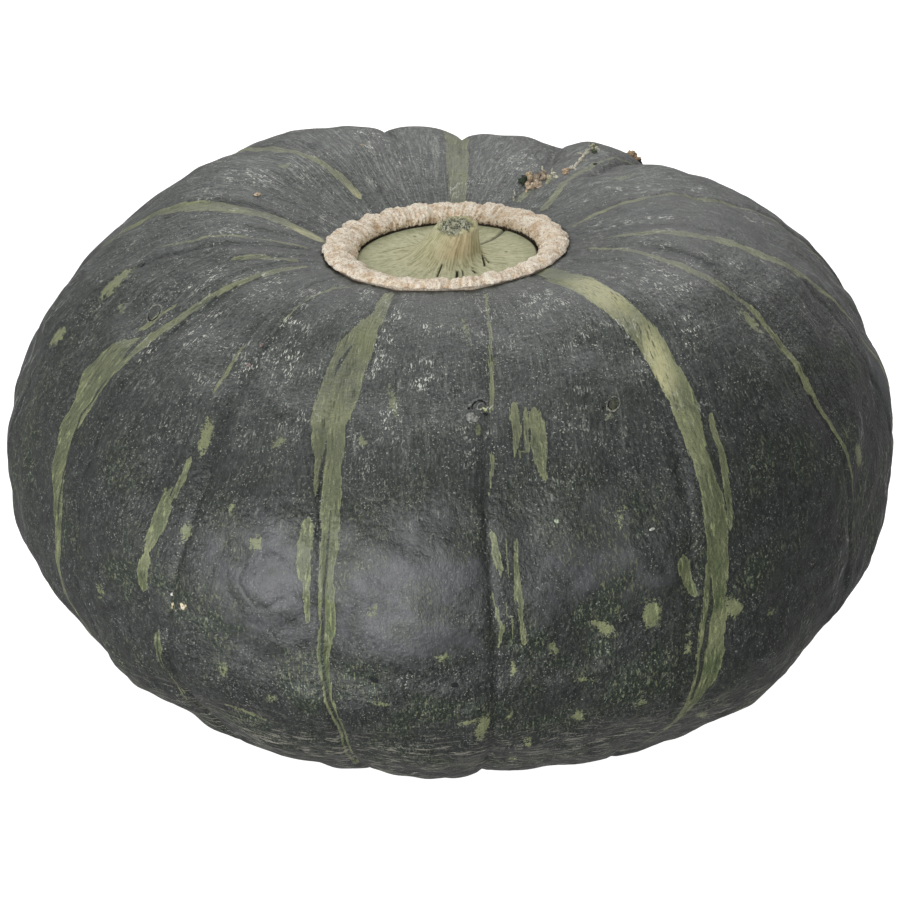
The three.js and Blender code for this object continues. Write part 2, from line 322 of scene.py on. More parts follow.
def vein_azimuths(polar):
    """The azimuth of each vein at each polar angle: its place at the ring, bent to the other two by ramps."""
    degrees = np.degrees(polar)[..., None]
    ring, shoulder, low = VEINS[:, 0], VEINS[:, 1], VEINS[:, 2]
    bent = (ring + (shoulder - ring) * ramp(*VEIN_SHOULDER, degrees)
            + (low - shoulder) * ramp(*VEIN_LOW, degrees))
    return np.radians(bent)


def rings_of_growth(points):
    """The sum over the ripples of cos u − 0.4 cos 2u, where u is a whole turn for every spacing of the
    wavering distance from the middle, beyond half a spacing, times the height and a shine, e to the power
    −(distance/reach)². Also the sum of the shines, and the whole turns and height of the ripple that shines
    most."""
    height, shine, best, turns, strength = 0, 0, 0, 0, 0
    waver = lumps(points, RIPPLE_WAVER, 4)
    for azimuth, polar, reach, spacing, tall in RIPPLES:
        middle = smooth_fruit(np.radians(azimuth), np.radians(polar))
        away = np.linalg.norm(points - middle, axis=-1)
        u = 2 * np.pi * np.maximum((away + waver) / spacing - 0.5, 0)
        fade = np.exp(-(away / reach) ** 2)
        height = height + tall * (np.cos(u) - 0.4 * np.cos(2 * u)) * fade
        shine = shine + fade
        turns = np.where(fade > best, u / (2 * np.pi), turns)
        strength = np.where(fade > best, tall, strength)
        best = np.maximum(best, fade)
    return height, (shine, turns, strength)


def rind(azimuth, polar):
    """Points of the rind. The smooth fruit moves along its normal: out by each rib's swell 4a(1 − a), in by
    the depth of the groove on either side times (1 − 2a)^2.2, where a is the way across the rib, and by the
    relief. Gives the points and their distance from the nearest vein."""
    veins = vein_azimuths(polar)
    rib = (azimuth[..., None] >= veins).sum(-1) - 1
    count = len(VEINS)
    left = np.take_along_axis(veins, rib[..., None] % count, -1)[..., 0] - 2 * np.pi * (rib < 0)
    right = np.take_along_axis(veins, (rib[..., None] + 1) % count, -1)[..., 0]
    right = right + 2 * np.pi * (rib == count - 1)
    across = (azimuth - left) / (right - left)
    degrees = np.degrees(polar)
    groove = (VEINS[rib % count, 3] * np.maximum(1 - 2 * across, 0) ** GROOVE_POWER
              + VEINS[(rib + 1) % count, 3] * np.maximum(2 * across - 1, 0) ** GROOVE_POWER)
    swell = VEINS[rib % count, 4] * 4 * across * (1 - across) * ramp(*RIB_RISE, degrees)
    fade = 1 - ramp(*GROOVE_FADE, degrees)
    strength = (GROOVE_AT_RING + (1 - GROOVE_AT_RING) * ramp(*GROOVE_RISE, degrees)) * fade
    points = smooth_fruit(azimuth, polar)
    to_right, down = steps_along(azimuth, polar)
    normal = unit(np.cross(down, to_right))
    from_vein = np.minimum(across, 1 - across) * (right - left) * np.linalg.norm(to_right, axis=-1)
    crease = CREASE_DEPTH * np.exp(-(from_vein / CREASE_WIDTH) ** 2) * ramp(*CREASE_RISE, degrees) * fade
    pleats = sum(np.sin(k * azimuth + 2.1 * k + 1.3 * np.sin(3 * azimuth + k)) for k in PLEATS)
    pleats = PLEAT_HEIGHT * pleats * (1 - ramp(*PLEAT_FADE, degrees)) * ramp(*PLEAT_RISE, degrees)
    ripples = rings_of_growth(points)[0]
    relief = (swelling(points) + lumps(points, LUMPS, 3)) * ramp(*SWELLING_RISE, degrees)
    height = (swell - groove) * strength + relief - crease + pleats + ripples
    points = points + height[..., None] * normal
    points[..., 2] = np.maximum(points[..., 2], -WAIST[2])
    return points, from_vein


SEAT_POLAR = polar_angle(SEAT_RADIUS, RISE_POWER)
SEAT_MIDDLE = POLE * np.cos(SEAT_POLAR) ** PULL_POWER
SEAT_HEIGHT = (RISE * (1 - (SEAT_RADIUS / HALF_WIDTH) ** RISE_POWER) ** (1 / RISE_POWER)
               - BASIN * hollow(SEAT_RADIUS, BASIN_RADIUS))
SEAT_SLOPE = BASIN_TILT * hollow(SEAT_RADIUS, BASIN_RADIUS) / SEAT_RADIUS
STEM_POLAR = np.pi - polar_angle(STEM_SEAT_RADIUS, DROP_POWER)


def over_seat(radius, azimuth, height):
    """A point at a radius and azimuth round the scar, and a height above the tilted plane of its seat."""
    slope = SEAT_SLOPE * radius * np.cos(azimuth - BASIN_TURN)
    return np.stack(np.broadcast_arrays(
        SEAT_MIDDLE[0] + radius * np.sin(azimuth),
        SEAT_MIDDLE[1] - radius * np.cos(azimuth),
        SEAT_HEIGHT + slope + height,
    ), -1)


def lay_grid(name, points, material, ends=None, **attributes):
    """A mesh over one or more grids of points: rows run down and columns to the right, where the last meets
    the first. Two ends a grid close its first and last row with fans; without them the last row meets the
    first. An attribute is an array of values, or a tuple of three arrays for a vector."""
    rows, columns = points.shape[-3:-1]
    corner = np.arange(points[..., 0].size).reshape(-1, rows, columns)
    ahead = np.roll(corner, -1, axis=2)
    below = slice(1, None) if ends is not None else np.roll(np.arange(rows), -1)
    above = slice(None, -1) if ends is not None else slice(None)
    faces = np.stack([corner[:, above], corner[:, below], ahead[:, below], ahead[:, above]], -1)
    faces = faces.reshape(-1, 4).tolist()
    flat = points.reshape(-1, 3)
    if ends is not None:
        tips = corner.size + np.arange(2 * len(corner)).reshape(-1, 2, 1) + np.zeros(columns, int)
        faces += np.stack([tips[:, 0], corner[:, 0], ahead[:, 0]], -1).reshape(-1, 3).tolist()
        faces += np.stack([tips[:, 1], ahead[:, -1], corner[:, -1]], -1).reshape(-1, 3).tolist()
        flat = np.concatenate([flat, np.reshape(ends, (-1, 3))])
    mesh = bpy.data.meshes.new(name)
    mesh.from_pydata(((flat + WAIST) / 1000).tolist(), [], faces)
    for key, values in attributes.items():
        parts = values if isinstance(values, tuple) else [values]
        size = len(parts)
        values = np.stack([np.broadcast_to(part, points.shape[:-1]) for part in parts], -1)
        values = values.reshape(-1, rows, columns, size)
        if ends is not None:
            tips = np.stack([values[:, 0].mean(1), values[:, -1].mean(1)], 1)
            values = np.concatenate([values.reshape(-1, size), tips.reshape(-1, size)])
        kind, slot = ("FLOAT_VECTOR", "vector") if size == 3 else ("FLOAT", "value")
        mesh.attributes.new(key, kind, "POINT").data.foreach_set(slot, values.astype(np.float32).ravel())
    mesh.shade_smooth()
    mesh.materials.append(material)
    made = bpy.data.objects.new(name, mesh)
    bpy.context.scene.collection.objects.link(made)
    return made


# The stripes: paler bands of rind over the veins. A station is a polar angle and an azimuth in degrees, and
# the width there in mm.
STRIPES = [
    [(16.3, -24.5, 2.1), (20.9, -23.2, 3), (26.4, -26.5, 7.4), (34.6, -28, 8.7), (40.7, -29.2, 7.1),
     (45.9, -28.8, 6.3), (47.9, -28, 4), (58.2, -27.2, 4.4), (64.4, -27.2, 3.5), (79.1, -26.5, 3.6),
     (86.1, -27.5, 2.4), (96.2, -26.3, 1.6), (104.4, -25, 1.7), (115.1, -25.5, 1.6), (124.5, -26.5, 0.8)],
    [(15.1, 50.3, 3.6), (19.5, 45.2, 6.1), (28, 44.8, 5.9), (33.6, 47.2, 5.5), (38.6, 49.8, 5.1),
     (49.5, 52, 5.6), (57.3, 51.5, 4), (62.4, 51.5, 5), (71.4, 50.8, 5.6), (82.3, 49.2, 5.4),
     (92.4, 48.8, 6.2), (97.2, 48.5, 5.5), (102.6, 47.5, 4.2), (109.3, 46.8, 1.6), (126.3, 47.2, 0.4)],
    [(18.1, -71, 1.2), (27.2, -72.5, 1.2), (32.2, -74.5, 1.4), (40.2, -76.2, 2.2), (44.3, -78.5, 5.1),
     (47.3, -79.5, 9.1), (53.3, -80.8, 10.2), (57.3, -79.8, 5.7), (62.2, -79.8, 5.4), (71.6, -77.5, 6.6),
     (74.9, -76.2, 4.3), (84.5, -74.8, 2.7), (94, -75, 1.3), (118, -73, 0.4)],
    [(18, 76.8, 0.6), (20, 74.8, 0.9), (23.4, 71, 1.3), (27, 69.6, 1.8), (30, 69.2, 1.4), (33.8, 69, 2.5),
     (37, 70.8, 2.5), (39.8, 72.8, 1.9), (42, 74.6, 1.4), (45.7, 75.5, 1.2), (52, 75.8, 1.8), (57, 76, 1.9),
     (63, 76.4, 1.3), (80, 78, 0.5)],
    [(18.7, 85.5, 0.7), (24.4, 83.8, 1.2), (27.6, 83.6, 2.2), (30.4, 85, 2.9), (33.4, 87, 3.4),
     (36.4, 88.6, 3.6), (39.6, 90.6, 4.2), (43, 92.4, 4.6), (46, 94.2, 3.2), (49, 95.8, 2.4),
     (52.7, 96.8, 1.6), (62, 99.5, 1.6), (74, 97, 1), (90, 94, 0.5)],
    [(16.5, 107.3, 0.9), (19.5, 111.2, 1.2), (23.4, 113.8, 1.4), (28, 115.4, 1.6), (35, 118.4, 1.7),
     (41, 119.4, 1.4), (47, 117.5, 1.7), (56, 118, 1.3), (84, 116, 1.2), (104, 115, 0.5)],
    [(16.7, 133.8, 1.9), (22.7, 140.2, 1.3), (27.4, 142.2, 1.4), (32, 144.2, 1.3), (33, 144.5, 0.5),
     (39.2, 146.2, 0.5), (50, 146, 0.6), (72, 144, 1.2), (98, 143, 0.6)],
    [(15.9, 175, 3.4), (24, 177.2, 4.6), (38, 178.8, 5.5), (52, 179.5, 6), (70, 180, 4.4), (92, 180, 2.6),
     (120, 180, 0.6)],
    [(18.7, -143.5, 1.6), (22.7, -141.8, 2.6), (25.6, -140, 1.9), (28, -137, 2.5), (33.6, -136.8, 2.8),
     (54, -140, 5.2), (74, -141, 3.6), (102, -141, 0.8)],
    [(16.1, -101.8, 3.2), (20.9, -105.8, 2.8), (25.8, -104.8, 3.1), (29.6, -106.2, 4.1),
     (33.6, -107.3, 4.9), (40.5, -110, 3), (58, -109.5, 4.6), (80, -109, 2.2), (106, -109, 0.6)],
    [(16.9, -42.5, 0.9), (17.9, -47.5, 0.9), (21.9, -49.5, 0.6), (26.8, -50.5, 0.5)],
    [(32.8, -55.5, 0.6), (38.6, -55.8, 0.8), (41.7, -55.8, 0.5)],
    [(17.1, 16, 0.6), (20.5, 13.5, 0.8), (29.2, 11.2, 0.6), (36.4, 10.2, 1.2), (39.4, 9.8, 0.4)],
    [(45.7, 9.8, 0.4), (48.7, 9.8, 0.7), (53.7, 8.8, 0.4)],
    [(17.1, -88.8, 0.8), (19.9, -90.2, 0.7), (26.8, -91.8, 0.6), (36.6, -96, 0.8)],
]
# Strands that run close beside a stripe, and the patches of the same pale rind that are long and thin.
STRANDS = [
    [(42.9, -31, 2.5), (45.9, -31, 1.5), (51.1, -30.8, 0.8), (53.1, -30.8, 0.3)],
    [(52.5, 55.8, 1.3), (57, 55.2, 1.6), (61, 54.4, 1.8), (66, 53.8, 1.8), (70, 53, 1)],
    [(36.2, -79, 1.1), (39.2, -79.5, 1.8), (42.1, -80.5, 1.6)],
    [(60, 9, 0.9), (64, 9.8, 1.8), (68.2, 10.5, 0.4)],
    [(62, 14.5, 0.9), (71.6, 13.8, 1.4), (82.1, 14.5, 0.9)],
    [(41.5, 20.2, 2.2), (46.5, 21, 3.6), (48.7, 21, 2.8), (52.7, 22, 1)],
    [(39.4, 15.5, 2), (43.5, 16, 2.1), (47.7, 15.2, 0.5)],
    [(58.2, -31.8, 2.6), (67.6, -31.5, 3), (69.6, -30.8, 1.4), (77.9, -30, 1.2)],
    [(72.8, 44.9, 3.6), (76, 45.4, 2.6), (79.6, 46.4, 1.4)],
    [(18.9, -76.5, 0.9), (22.9, -80.8, 1.5), (27, -81.5, 1.1)],
    [(52.7, -55.5, 1), (56.9, -55.8, 1.9), (60, -56.2, 1.7), (61.4, -56.8, 0.9)],
    [(59.4, -58, 1), (62, -57, 3.2), (66, -57.2, 4.2), (70.2, -57.7, 2.6), (72.2, -57.7, 1.6)],
    [(73.6, -57.7, 2.4), (77.5, -58, 2.8), (80.5, -57.7, 2.2)],
    [(89.5, -55.2, 1), (93.2, -55.2, 2), (97.4, -55.5, 0.7), (110.5, -55, 0.6)],
    [(71.4, 8.2, 0.4), (78.5, 9.8, 0.9), (82.7, 9.2, 0.3)],
]
# Dark slits of plain rind along the stripes.
STRIPE_SLITS = [
    [(26.4, -27.5, 0.4), (29.2, -29.8, 1.1), (31.2, -30, 0.5)],
    [(42.7, -29.5, 0.5), (48.9, -30.2, 0.9), (53.1, -30, 0.5)],
    [(55.1, -27.5, 0.2), (65.4, -27.2, 0.5), (77.1, -27.5, 0.7), (87.1, -27.5, 0.5), (96.2, -26.3, 0.6),
     (104.4, -25, 0.7), (121.9, -26, 0.6)],
    [(56.3, 52.8, 0.7), (61.6, 53.2, 1.2), (63.6, 53.2, 0.4)],
    [(77.3, 49, 0.4), (83.3, 48.5, 1.2), (92.4, 47.6, 1.2), (97.8, 47.1, 0.9), (103.2, 46.8, 0.5)],
    [(37, -78.8, 0.8), (42.1, -78.5, 1.6), (46.3, -77.8, 0.9)],
    [(50.3, -77.8, 0.4), (58.6, -79, 0.6), (66.8, -77.1, 0.6), (72, -76, 0.5), (79.1, -75.4, 0.4)],
    [(88.5, -55.2, 0.3), (97.4, -55.5, 0.5), (110.5, -55, 0.4)],
]
# Patches of pale rind: azimuth and polar angle in degrees, half length and half width in mm, and the angle
# that the patch leans from the meridian.
PATCHES = [
    (-54.2, 48.1, 3.7, 1.4, -5), (-52.5, 65.6, 2.1, 1.2, 8), (-40.5, 63.6, 1.4, 1.2, 5),
    (-45.8, 58.2, 1, 0.8, -28), (-44.5, 93, 2.5, 1, 15), (-37, 98, 1.7, 0.7, 61), (-42, 105, 4.8, 0.7, -74),
    (-93.2, 43.7, 4.3, 1.8, -11), (-92.8, 55.5, 2.7, 1.7, 14), (-87.8, 43.7, 1.5, 0.8, 88),
    (-39.5, 45.1, 1.9, 0.9, 45), (5.8, 101.8, 4.1, 1.2, 8), (3, 99.6, 2.6, 0.8, 77),
    (11.5, 100.4, 1.6, 0.7, -5), (16.8, 110.1, 2, 0.8, -8), (15, 122.1, 2, 0.7, -7),
    (26.5, 102.6, 2.3, 1.2, -15), (26.5, 92.2, 2, 0.5, -74), (37.8, 100.2, 1.4, 0.8, -30),
    (45.2, 89.1, 2.2, 0.6, -1), (52.8, 114.1, 3.1, 1.1, -42), (20.5, 84.1, 1.5, 1.1, -14),
    (30.5, 81.9, 3.1, 1.3, -48), (39, 81.1, 3.5, 1.9, 3), (52.2, 84.1, 2.8, 1.9, -32),
    (36, 62.2, 1.9, 0.7, 18), (12.2, 87.9, 2.4, 0.6, 0), (58.8, 88.3, 1.6, 1, -47),
    (-2.8, 83.5, 1.3, 0.8, 64), (-17.5, 74, 1.4, 0.8, 32), (148.5, 18.3, 2.4, 0.9, 0),
    (133, 30, 4.1, 0.7, 2), (-14, 35.4, 3.4, 0.8, -10), (-21, 42.9, 1, 0.9, -14),
    (72.8, 44.5, 3.3, 1.2, -9), (80.2, 72.8, 2.9, 2.1, -15), (-65.2, 86.5, 1.8, 0.9, 15),
    (-16.2, 95, 1.6, 0.6, -72), (5.5, 24.4, 3, 0.5, -1), (-129, 27, 1.4, 0.9, -75), (105, 68, 3.2, 1.2, -6),
    (128, 74, 2.6, 1.4, 12), (152, 62, 3.6, 1.1, 4), (-156, 66, 3, 1.3, -8), (-124, 78, 2.8, 1.4, 10),
    (168, 92, 2.4, 1, -20), (-150, 98, 3, 0.9, 15), (96, 100, 2.4, 1.1, -30), (-84, 104, 3, 0.9, 20),
    (124, 104, 2.2, 1, 8), (-20, 126, 2.6, 0.8, 40), (70, 128, 2.8, 0.9, -24),
]
# Clouds of white flecks in the wax: azimuth and polar angle in degrees, half length and half width in mm.
CLOUDS = [
    (-17.2, 22.1, 5, 2.2), (-19, 28, 6, 3), (13.5, 20.3, 6, 1.6), (-14.5, 38.4, 5, 2.4),
    (-4.5, 23.6, 3, 2.4), (-6.8, 31.4, 4, 4), (-43.2, 31.2, 9, 3), (-48.2, 27.6, 7, 2), (-52.2, 21.1, 4, 2),
    (-34.2, 17.3, 2, 2.5), (-68.2, 35.6, 7, 3), (-51.8, 35.2, 7, 2), (-66.2, 24, 8, 2), (-74.2, 42.7, 4, 3),
    (-79.5, 31.4, 6, 2), (57.2, 40.2, 3, 3), (64.2, 29.8, 7, 2.4), (96.8, 25.6, 8, 3), (122, 29.4, 8, 3),
    (159.5, 27.6, 9, 4), (-160, 30.2, 9, 4), (-120.5, 29.4, 8, 4), (-93.8, 26, 7, 2), (30.5, 21.5, 5, 4),
    (81.5, 40.2, 7, 3), (97, 22.4, 4, 1.2), (86, 27, 5, 0.8), (77, 27.6, 2.4, 1), (124, 38, 4, 2),
    (113, 41.7, 3, 1.4), (88.6, 42, 8, 0.7), (123, 25.5, 3, 3), (86, 50.5, 4, 2.2), (57.5, 40.5, 2.2, 1.6),
]
# Places where a stripe is bleached to straw yellow.
BLEACHED = [
    (46, 26.8, 10, 5), (-141.2, 17.7, 7, 2.5), (49.8, 42, 9, 3), (92.2, 33, 8, 3), (-102, 17.9, 7, 2),
]
# How far from a line and from a vein their marks reach, in mm, and what a mark says where nothing is near.
# The vein's mark lays painted shade along the bottom of its groove.
LINE_REACH = 1.8
FURROW_SHADE_REACH = 2.5
FAR = 10
# The fibres' circle, in mm, and how much longer than wide they are.
FIBRE_RADIUS = 60
FIBRE_STRETCH = 8
# The last rib goes on past half a turn, and its azimuths end here, in degrees.
LAST_AZIMUTH = 192


def wrap(angle):
    """An angle brought to within half a turn of zero."""
    return (angle + np.pi) % (2 * np.pi) - np.pi


def nearest_line(lines, azimuth, polar, to_right, down):
    """For each point, how far to the right of the nearest line's middle it lies and half that line's width,
    both in mm. Both are read off the stations by straight lines, and beyond the ends the width shrinks."""
    offset = np.full(polar.shape, float(FAR))
    half = np.full(polar.shape, -float(FAR))
    degrees = np.degrees(polar)
    for stations in lines:
        at, middle, width = np.array(stations).T
        beyond = np.maximum(np.maximum(at[0] - degrees, degrees - at[-1]), 0)
        side = wrap(azimuth - np.radians(np.interp(degrees, at, middle))) * to_right
        wide = np.interp(degrees, at, width) / 2 - np.radians(beyond) * down
        closer = np.abs(side) - wide < np.abs(offset) - half
        offset = np.where(closer, side, offset)
        half = np.where(closer, wide, half)
    half = np.where(np.abs(offset) - half > LINE_REACH, -FAR, half)
    return offset, half, 0 * half


def nearest_patch(azimuth, polar, to_right, down):
    """How deep inside a patch each point lies, in mm: the ellipse's half width times 1 − its radius."""
    inside = np.full(polar.shape, -float(FAR))
    for at, low, length, width, lean in PATCHES:
        x = wrap(azimuth - np.radians(at)) * to_right
        y = (polar - np.radians(low)) * down
        a = np.radians(lean)
        along = (y * np.cos(a) - x * np.sin(a)) / length
        across = (x * np.cos(a) + y * np.sin(a)) / width
        inside = np.maximum(inside, width * (1 - np.hypot(along, across)))
    return inside


def clouds(places, azimuth, polar, to_right, down):
    """The sum over the places of e to the power −(the ellipse's radius)²."""
    thick = 0
    for at, low, length, width in places:
        x = wrap(azimuth - np.radians(at)) * to_right / width
        y = (polar - np.radians(low)) * down / length
        thick = thick + np.exp(-x ** 2 - y ** 2)
    return thick


def fibre_space(azimuth, radius, along):
    """A space whose noise is drawn out into fibres: a circle of this radius, and the way along divided by how
    much longer than wide they are."""
    return radius * np.sin(azimuth), radius * np.cos(azimuth), along / FIBRE_STRETCH


u = np.arange(RIND_COLUMNS) / RIND_COLUMNS
across = u - BUNCHING * np.sin(2 * np.pi * u)
polar = np.linspace(SEAT_POLAR, STEM_POLAR, RIND_ROWS)
left = vein_azimuths(polar)
right = np.roll(left, -1, axis=1)
right[:, -1] += 2 * np.pi
azimuth = (left[..., None] + (right - left)[..., None] * across).reshape(RIND_ROWS, -1)
azimuth = np.where(azimuth > np.radians(LAST_AZIMUTH), azimuth - 2 * np.pi, azimuth)
polar = np.repeat(polar[:, None], azimuth.shape[1], axis=1)
points, from_vein = rind(wrap(azimuth), polar)
to_right, down = [np.linalg.norm(step, axis=-1) for step in steps_along(azimuth, polar)]
rim_azimuth = np.arctan2(points[0, :, 0] - SEAT_MIDDLE[0], SEAT_MIDDLE[1] - points[0, :, 1])
floor_rim = over_seat(SEAT_RADIUS - GAP / 2, rim_azimuth, -SEAT_DEPTH)
points = np.concatenate([floor_rim[None], points])
length = np.cumsum(down[:, :1] * (polar[1, 0] - polar[0, 0]), axis=0)
# The wall of the seat repeats the marks of its edge.
wall = np.r_[0, :RIND_ROWS]
azimuth, polar, to_right, down, from_vein, length = [
    values[wall] for values in (azimuth, polar, to_right, down, from_vein, length)
]
there = azimuth, polar, to_right, down
marks = {
    "fibre": fibre_space(azimuth, FIBRE_RADIUS, length),
    "stripe": nearest_line(STRIPES, *there),
    "strand": nearest_line(STRANDS, *there),
    "slit": nearest_line(STRIPE_SLITS, *there),
    "patch": nearest_patch(*there),
    "cloud": clouds(CLOUDS, *there),
    "bleached": clouds(BLEACHED, *there),
    "growth": rings_of_growth(smooth_fruit(azimuth, polar))[1],
    "furrow_shade": np.exp(-(from_vein / FURROW_SHADE_REACH) ** 2),
    "polar": np.degrees(polar),
}
ends = np.array([over_seat(0, 0, -SEAT_DEPTH), [0, 0, smooth_fruit(0, STEM_POLAR)[2]]])


def read_marks(tree, marks):
    """What a material reads from each mark: a vector, or one value."""
    kinds = {name: "Vector" if isinstance(values, tuple) else "Fac" for name, values in marks.items()}
    return {
        name: node(tree, "Attribute", attribute_name=name).outputs[kind] for name, kind in kinds.items()
    }


def mask(tree, source, *steps, times=()):
    """How far a source has come from the first step to the second, smoothly, as 0 to 1 or as the third step
    to the fourth, times the factors. A source in a tuple is noise: place, scale, detail and roughness."""
    if isinstance(source, tuple):
        source = node(tree, "TexNoise", *source)
    made = node(tree, "MapRange", source, *steps, interpolation_type="SMOOTHSTEP")
    for factor in times:
        made = node(tree, "Math", made, factor, operation="MULTIPLY")
    return made


def lay(tree, tint, *layers):
    """Lays colours over a tint, one after another. Each layer is an amount and an sRGB hex code."""
    for amount, code in layers:
        tint = node(tree, "Mix", amount, tint, colour(code), data_type="RGBA")
    return tint


def finish_material(tree, tint, roughness, ior, *bumps, **inputs):
    """Ends a material with its bumps, one on another, its surface and its output. A bump is a height, a
    strength and a depth in mm, which is below nothing where the height goes inwards."""
    relief = {}
    for height, strength, deep in bumps:
        bump = node(tree, "Bump", Height=height, Strength=strength, Distance=abs(deep) / 1000,
                    invert=deep < 0, **relief)
        relief = {"Normal": bump}
    surface = node(tree, "BsdfPrincipled", Base_Color=tint, Roughness=roughness, IOR=ior, **relief, **inputs)
    node(tree, "OutputMaterial", surface)


# Squash rind: hard and closed, under a thin natural wax that leaves a soft, broken shine on its pebbled skin.
# Dark green, nearly black; it is greyer with bloom near the crown and flecked with green below. Where the
# ripples are it is rubbed smooth and shines more, and that shine is also painted on as a greyer colour, with
# painted shade as a dark crease between one ring and the next. Painted shade also darkens the bottom of
# each vein's groove. The side away from the front has weathered, and pale lines of wax run down its
# crown. Scales of noise are one over the size of its lumps in mm, and 1000 over it where the place is in
# metres. The streaks and lines are drawn out along the fruit, and the grain, mottling, tufts and flecks
# too, but less.
skin, tree = new_material("squash rind, waxy, dark green")
place = node(tree, "TexCoord").outputs["Object"]
marks_of = read_marks(tree, marks)
fibre, degrees = marks_of["fibre"], marks_of["polar"]
drawn = node(tree, "VectorMath", fibre, (1, 1, 2.7), operation="MULTIPLY")
shining, turns, ripple = node(tree, "SeparateXYZ", marks_of["growth"]).outputs

crown = mask(tree, degrees, 62, 26)
near_crown = mask(tree, degrees, 66, 30, 0.1, 0.75)
broken = node(tree, "TexNoise", place, 1000 / 8, 4, 0.6)
broken = node(tree, "Math", broken, 2.4, -1.2, operation="MULTIPLY_ADD")
polish = node(tree, "Math", shining, broken, operation="ADD")
rough = mask(tree, polish, 0.1, 0.8, 1, 0.5)
polish_and_sheen = mask(tree, polish, 0.2, 1, 0, 0.6)
crease = node(tree, "Math", broken, 0.3, turns, operation="MULTIPLY_ADD")
crease = node(tree, "Math", crease, 0.5, operation="PINGPONG")
ringed = mask(tree, (place, 1000 / 11, 2), 0.4, 0.64, 0, 5, times=(ripple, shining))
crease = mask(tree, crease, 0.2, 0.5, times=[ringed])
bloom = node(tree, "TexNoise", place, 1000 / 9, 2)
bloom = node(tree, "MapRange", bloom, 0.3, 0.7, 0.35, 0.8)
bloom = node(tree, "Math", bloom, crown, operation="MULTIPLY")
low = mask(tree, degrees, 38, 76, 0.2, 1)
moss = mask(tree, (place, 1000 / 13, 2), 0.46, 0.64, times=[low])
damp = node(tree, "Math", moss, 0.8, operation="MULTIPLY")
tufts = mask(tree, (drawn, 1 / 0.45, 3, 0.6), 0.55, 0.64, times=[moss])
streaks = node(tree, "TexNoise", fibre, 1 / 0.9, 4, 0.6)
lines = node(tree, "TexNoise", fibre, 1 / 0.5, 4, 0.65)
behind = node(tree, "SeparateXYZ", place).outputs["Y"]
weathered = mask(tree, behind, -0.008, 0.025, 0, 0.6, times=[crown])
furrow_shade = node(tree, "Math", marks_of["furrow_shade"], 0.4, operation="MULTIPLY")
mottling = node(tree, "TexNoise", drawn, 1 / 1.0, 4, 0.65)
mottling = node(tree, "MapRange", mottling, 0.36, 0.64)
ground = lay(
    tree, colour("191c1a"),
    (mottling, "303432"),
    (bloom, "535754"),
    # Painted sheen: the polished places made greyer, as the soft shine on them.
    (polish_and_sheen, "5a5a5f"),
    # Painted shade: the crease between one ring of growth and the next darkened.
    (crease, "1b1f1d"),
    (damp, "20291f"),
    (tufts, "646a50"),
    (mask(tree, streaks, 0.54, 0.72, times=[near_crown]), "70746e"),
    (mask(tree, streaks, 0.46, 0.3, times=[near_crown]), "1b1f1d"),
    (mask(tree, streaks, 0.54, 0.64, times=[weathered]), "80857c"),
    (mask(tree, lines, 0.53, 0.6, 0, 0.9, times=[weathered]), "8c918a"),
    (mask(tree, lines, 0.47, 0.4, 0, 0.9, times=[weathered]), "1b1f1d"),
    # Painted shade along the bottom of each vein's groove.
    (furrow_shade, "161b19"),
)

# The stripes: half a line's width, less the distance from its middle, is above nothing inside it. Noise that
# is drawn out along the fruit frays the edges, and rounder noise breaks up the patches.
fray = node(tree, "TexNoise", fibre, 1 / 0.6, 4, 0.7)
fray = node(tree, "Math", fray, 2.6, -1.3, operation="MULTIPLY_ADD")
depths = {}
for name, frayed in (("stripe", 1), ("strand", 1), ("slit", 0.3)):
    line = node(tree, "SeparateXYZ", marks_of[name]).outputs
    side = node(tree, "Math", line["X"], operation="ABSOLUTE")
    depth = node(tree, "Math", line["Y"], side, operation="SUBTRACT")
    depths[name] = node(tree, "Math", fray, frayed, depth, operation="MULTIPLY_ADD")
ragged = node(tree, "TexNoise", place, 1000 / 0.9, 5, 0.8)
ragged = node(tree, "Math", ragged, 5, -2.6, operation="MULTIPLY_ADD")
patch = node(tree, "Math", marks_of["patch"], ragged, operation="ADD")
band = node(tree, "Math", depths["stripe"], depths["strand"], operation="MAXIMUM")
pale = node(tree, "Math", band, patch, operation="MAXIMUM")
slit = mask(tree, depths["slit"], -0.08, 0.1, 1, 0.1)
pale = mask(tree, pale, -0.03, 0.07, times=[slit])
down_fruit = node(tree, "MapRange", degrees, 30, 80)
olive = lay(
    tree, colour("636752"),
    (down_fruit, "4e5739"),
    (mask(tree, (place, 1000 / 12, 3), 0.45, 0.62, 0, 0.8), "747857"),
    (mask(tree, marks_of["bleached"], 0.1, 0.9, 0, 0.85), "b2af86"),
    (mask(tree, lines, 0.53, 0.68, 0, 0.95), "8a9067"),
    (mask(tree, lines, 0.45, 0.33, 0, 0.9), "363f29"),
    (mask(tree, band, 0.5, 0.1, 0, 0.4), "8a8f6a"),
)
ground = lay(tree, ground, (mask(tree, band, -0.7, -0.1, 0, 0.5), "141917"))
ground = node(tree, "Mix", pale, ground, olive, data_type="RGBA")

# Over all of it, fine pale and dark grains, thicker in some places than in others, thin on the stripes, below
# the crown and where the rind is polished. They are partly the skin's own speckle and partly painted
# highlight and shade on its pebbles. White pinpricks among them are painted glints.
grain = node(tree, "TexNoise", drawn, 1 / 0.4, 2, 0.6, Distortion=0.6)
on_pale = node(tree, "MapRange", pale, 0, 1, 1, 0.35)
amount = mask(tree, degrees, 32, 62, 0.8, 0.5, times=(on_pale, rough))
clump = node(tree, "TexNoise", place, 1000 / 5, 3)
clump = node(tree, "MapRange", clump, 0.4, 0.62, 0.35, 1)
clump = node(tree, "Math", clump, amount, operation="MULTIPLY")
